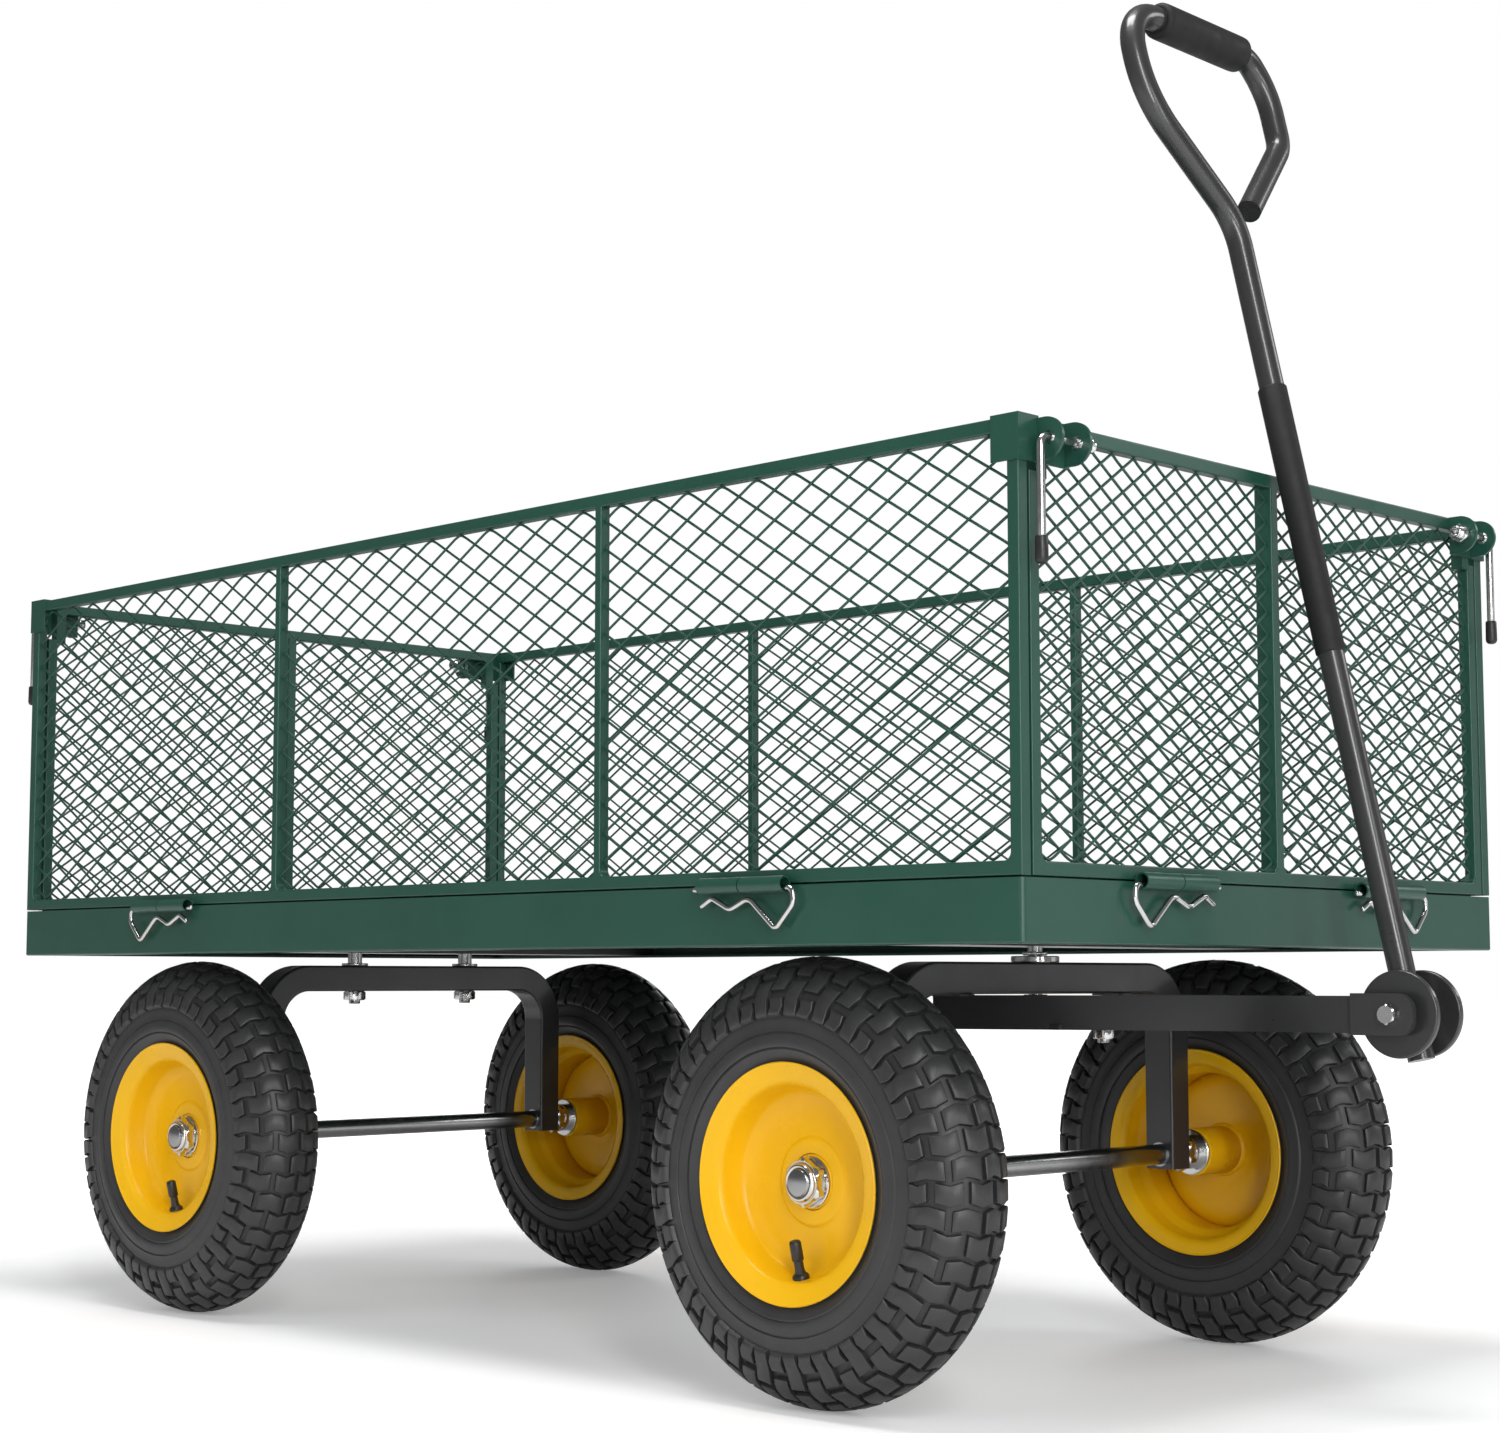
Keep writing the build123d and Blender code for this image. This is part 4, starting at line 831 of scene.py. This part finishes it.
def build_handle():
    place = handle_place()
    points = [(0, 0, -33), (0, 0, 615), (0, -89, 700), (0, -89, LOOP_TOP), (0, 72, LOOP_TOP), (0, 92, 748),
              (0, 92, 700), (0, 25, 631)]
    path = [place @ (p * MM) for p in rounded(points, [52, 78, 36, 20, 58, 26], 12)]
    bm = bmesh.new()
    tube(bm, path, TUBE_RADIUS * MM, 40)
    make_piece("handle_bent_tube", bm, "handle", "black_powder_coat", ("handle_tube",), 50)

    bm = bmesh.new()
    start, end, radius = SLEEVE
    profile = [(start, 9.4), (start, radius - 1.6), (start + 0.5, radius - 0.7), (start + 1.6, radius),
               (end - 1.6, radius), (end - 0.5, radius - 0.7), (end, radius - 1.6), (end, 9.4)]
    upright = place @ Matrix.Rotation(-math.pi / 2, 4, "Y")
    lathe(bm, metres(profile), 48, upright)
    bmesh.ops.recalc_face_normals(bm, faces=bm.faces)
    make_piece("foam_sleeve", bm, "handle", "foam", ("shaft_sleeve",), 50)

    bm = bmesh.new()
    start, end, radius = GRIP
    profile = [(start, 9.4), (start, radius - 3.2), (start + 0.8, radius - 1.4), (start + 2.6, radius - 0.2),
               (start + 6, radius), (end - 6, radius), (end - 2.6, radius - 0.2), (end - 0.8, radius - 1.4),
               (end, radius - 3.2), (end, 9.4)]
    across = place @ Matrix.Translation((0, 0, LOOP_TOP * MM)) @ Matrix.Rotation(math.pi / 2, 4, "Z")
    lathe(bm, metres(profile), 48, across)
    bmesh.ops.recalc_face_normals(bm, faces=bm.faces)
    make_piece("foam_grip", bm, "handle", "foam", ("hand_grip",), 50)


# ------------------------------------------------------------------ hinge clips and latch rods
def build_clips():
    """R-clips of round wire that pin the gates' hinges."""
    outline = [(93, -2.4), (-7.5, -2.4), (-8.5, -14), (9, -32), (36, -9.2), (55, -17.5), (73.5, -8.8),
               (85, -15)]
    bends = [5.5, 9, 4.6, 9, 9, 5]
    hinge_z = joints["right_gate_fold"]["pos_m"][2]
    side_y = joints["left_gate_fold"]["pos_m"][1]
    end_x = FRONT_X - (joints["rear_gate_fold"]["pos_m"][0] - REAR_X)
    bm = bmesh.new()
    for reach, maps in (
        (0.377 + 0.0425, ("right", "left")),
        (0.140 + 0.0425, ("front", "rear")),
    ):
        for gate in maps:
            for side in (-1, 1):
                points = []
                for t, drop in outline:
                    along = side * (reach - t * MM)
                    z = hinge_z + drop * MM
                    if gate in ("right", "left"):
                        y = -side_y if gate == "right" else side_y
                        points.append((BED_MIDDLE + along, y, z))
                    else:
                        x = end_x if gate == "front" else BED_MIDDLE * 2 - end_x
                        points.append((x, along, z))
                tube(bm, rounded(points, [b * MM for b in bends], 6), 2.1 * MM, 16, dome=0.8)
    bmesh.ops.recalc_face_normals(bm, faces=bm.faces)
    make_piece("r_clips", bm, "bed", "rod_plate", ("hinge_clips",), 50)


LATCH_TIP = 0.258  # metres from the middle of the cart to the inner end of each closed rod


def build_latches():
    for end_name, _ in ENDS:
        for side_name, side in SIDES:
            body = f"{end_name}_{side_name}_latch"
            low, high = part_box(f"{body}_rod")
            x = (low.x + high.x) / 2
            tip_low, tip_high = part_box(f"{body}_tip")
            arm = (tip_low.y + tip_high.y) / 2
            top = high.z - 3 * MM
            points = [(x, side * LATCH_TIP, top), (x, arm, top), (x, arm, low.z)]
            bm = bmesh.new()
            tube(bm, rounded(points, [6.5 * MM], 8), 3 * MM, 24, dome=0.6)
            bmesh.ops.recalc_face_normals(bm, faces=bm.faces)
            make_piece(f"{body}_bent_rod", bm, body, "rod_plate", (f"{body}_rod",), 50)
            bm = bmesh.new()
            height = (tip_high.z - tip_low.z) / MM
            profile = [(0, 0.01), (0, 1.8), (0.5, 3.1), (1.6, 4.1), (3.2, 4.6), (height - 1.2, 4.4),
                       (height - 0.3, 4.0), (height, 3.3), (height, 2.9)]
            stand = Matrix.Translation((x, arm, tip_low.z)) @ Matrix.Rotation(-math.pi / 2, 4, "Y")
            lathe(bm, metres(profile), 32, stand)
            bmesh.ops.remove_doubles(bm, verts=bm.verts, dist=0.00002)
            bmesh.ops.recalc_face_normals(bm, faces=bm.faces)
            make_piece(f"{body}_dipped_tip", bm, body, "black_vinyl", (f"{body}_tip",), 50)


# ------------------------------------------------------------------ studio
def build_stage():
    """A pale floor with a painted glow that rises with distance from the cart, so that it runs off into a white
    surround, with large soft lights.
    """
    bm = bmesh.new()
    bmesh.ops.create_grid(bm, x_segments=2, y_segments=2, size=30)
    mesh = bpy.data.meshes.new("floor")
    bm.to_mesh(mesh)
    bm.free()
    floor = bpy.data.objects.new("floor", mesh)
    scene.collection.objects.link(floor)
    m = Maker("studio_floor")
    color = m.blend(m.remap(m.noise(0.7, 2, 0.5), 0.3, 0.7, 0, 1), (0.86, 0.86, 0.87), (0.88, 0.88, 0.88))
    rough = m.remap(m.noise(3, 2, 0.5), 0.3, 0.7, 0.55, 0.6)
    # Painted glow: the floor's emission rises from 0.22 to 1.0 between 0.9 m and 2.6 m from its middle. It is full
    # only for camera rays and scaled to 0.15 for all other rays, so the far floor shows white.
    far = m.node("ShaderNodeVectorMath", operation="LENGTH")
    m.link(m.coords, far.inputs[0])
    painted_glow_by_distance = m.remap(far.outputs["Value"], 0.9, 2.6, 0.22, 1.0)
    seen_by = m.node("ShaderNodeLightPath")
    shown = m.node("ShaderNodeMath", operation="MULTIPLY")
    m.link(painted_glow_by_distance, shown.inputs[0])
    m.link(m.remap(seen_by.outputs["Is Camera Ray"], 0, 1, 0.15, 1.0), shown.inputs[1])
    m.link(shown.outputs["Value"], m.shader.inputs["Emission Strength"])
    mesh.materials.append(m.finish(color, rough, Emission_Color=(1, 1, 1, 1)))

    world = bpy.data.worlds.new("surround")
    scene.world = world
    world.use_nodes = True
    tree = world.node_tree
    seen = tree.nodes["Background"]
    seen.inputs["Color"].default_value = (1.0, 1.0, 1.0, 1)
    seen.inputs["Strength"].default_value = 1.0
    ambient = tree.nodes.new("ShaderNodeBackground")
    ambient.inputs["Color"].default_value = (1.0, 1.0, 1.0, 1)
    ambient.inputs["Strength"].default_value = 0.34
    dim = tree.nodes.new("ShaderNodeBackground")
    dim.inputs["Color"].default_value = (1.0, 1.0, 1.0, 1)
    dim.inputs["Strength"].default_value = 0.17
    rays = tree.nodes.new("ShaderNodeLightPath")
    unlit = tree.nodes.new("ShaderNodeMixShader")
    tree.links.new(rays.outputs["Is Glossy Ray"], unlit.inputs["Fac"])
    tree.links.new(ambient.outputs["Background"], unlit.inputs[1])
    tree.links.new(dim.outputs["Background"], unlit.inputs[2])
    mix = tree.nodes.new("ShaderNodeMixShader")
    tree.links.new(rays.outputs["Is Camera Ray"], mix.inputs["Fac"])
    tree.links.new(unlit.outputs["Shader"], mix.inputs[1])
    tree.links.new(seen.outputs["Background"], mix.inputs[2])
    tree.links.new(mix.outputs["Shader"], tree.nodes["World Output"].inputs["Surface"])

    def area(name, location, target, size, power, mirrored=True):
        data = bpy.data.lights.new(name, "AREA")
        data.shape = "RECTANGLE"
        data.size, data.size_y = size
        data.energy = power
        lamp = bpy.data.objects.new(name, data)
        scene.collection.objects.link(lamp)
        lamp.location = location
        lamp.rotation_euler = (Vector(target) - Vector(location)).to_track_quat("-Z", "Y").to_euler()
        lamp.visible_glossy = mirrored

    area("key", (2.9, -2.1, 1.6), (0.3, 0, 0.6), (0.5, 2.6), 66)
    area("side", (-0.5, -3.4, 1.3), (-0.1, 0, 0.3), (2.6, 1.4), 24, False)
    area("front", (3.5, -0.9, 0.9), (0.4, 0, 0.4), (0.35, 1.6), 16)
    area("low_wall", (2.6, 2.4, 0.6), (0.3, 0, 0.4), (1.6, 1.0), 3)
    area("wall", (2.2, 2.9, 2.1), (0.2, 0, 0.3), (1.5, 0.9), 20)
    area("top", (0.3, -0.5, 3.2), (0.1, 0, 0.3), (1.6, 0.9), 66)
    area("back", (-2.2, 3.0, 1.8), (0, 0, 0.4), (2.4, 1.6), 22)


build_wheels()
build_axle_hardware()
build_fasteners()
soften_edges()
build_gate_mesh()
build_handle()
build_clips()
build_latches()
build_stage()

scene.view_settings.view_transform = "Standard"
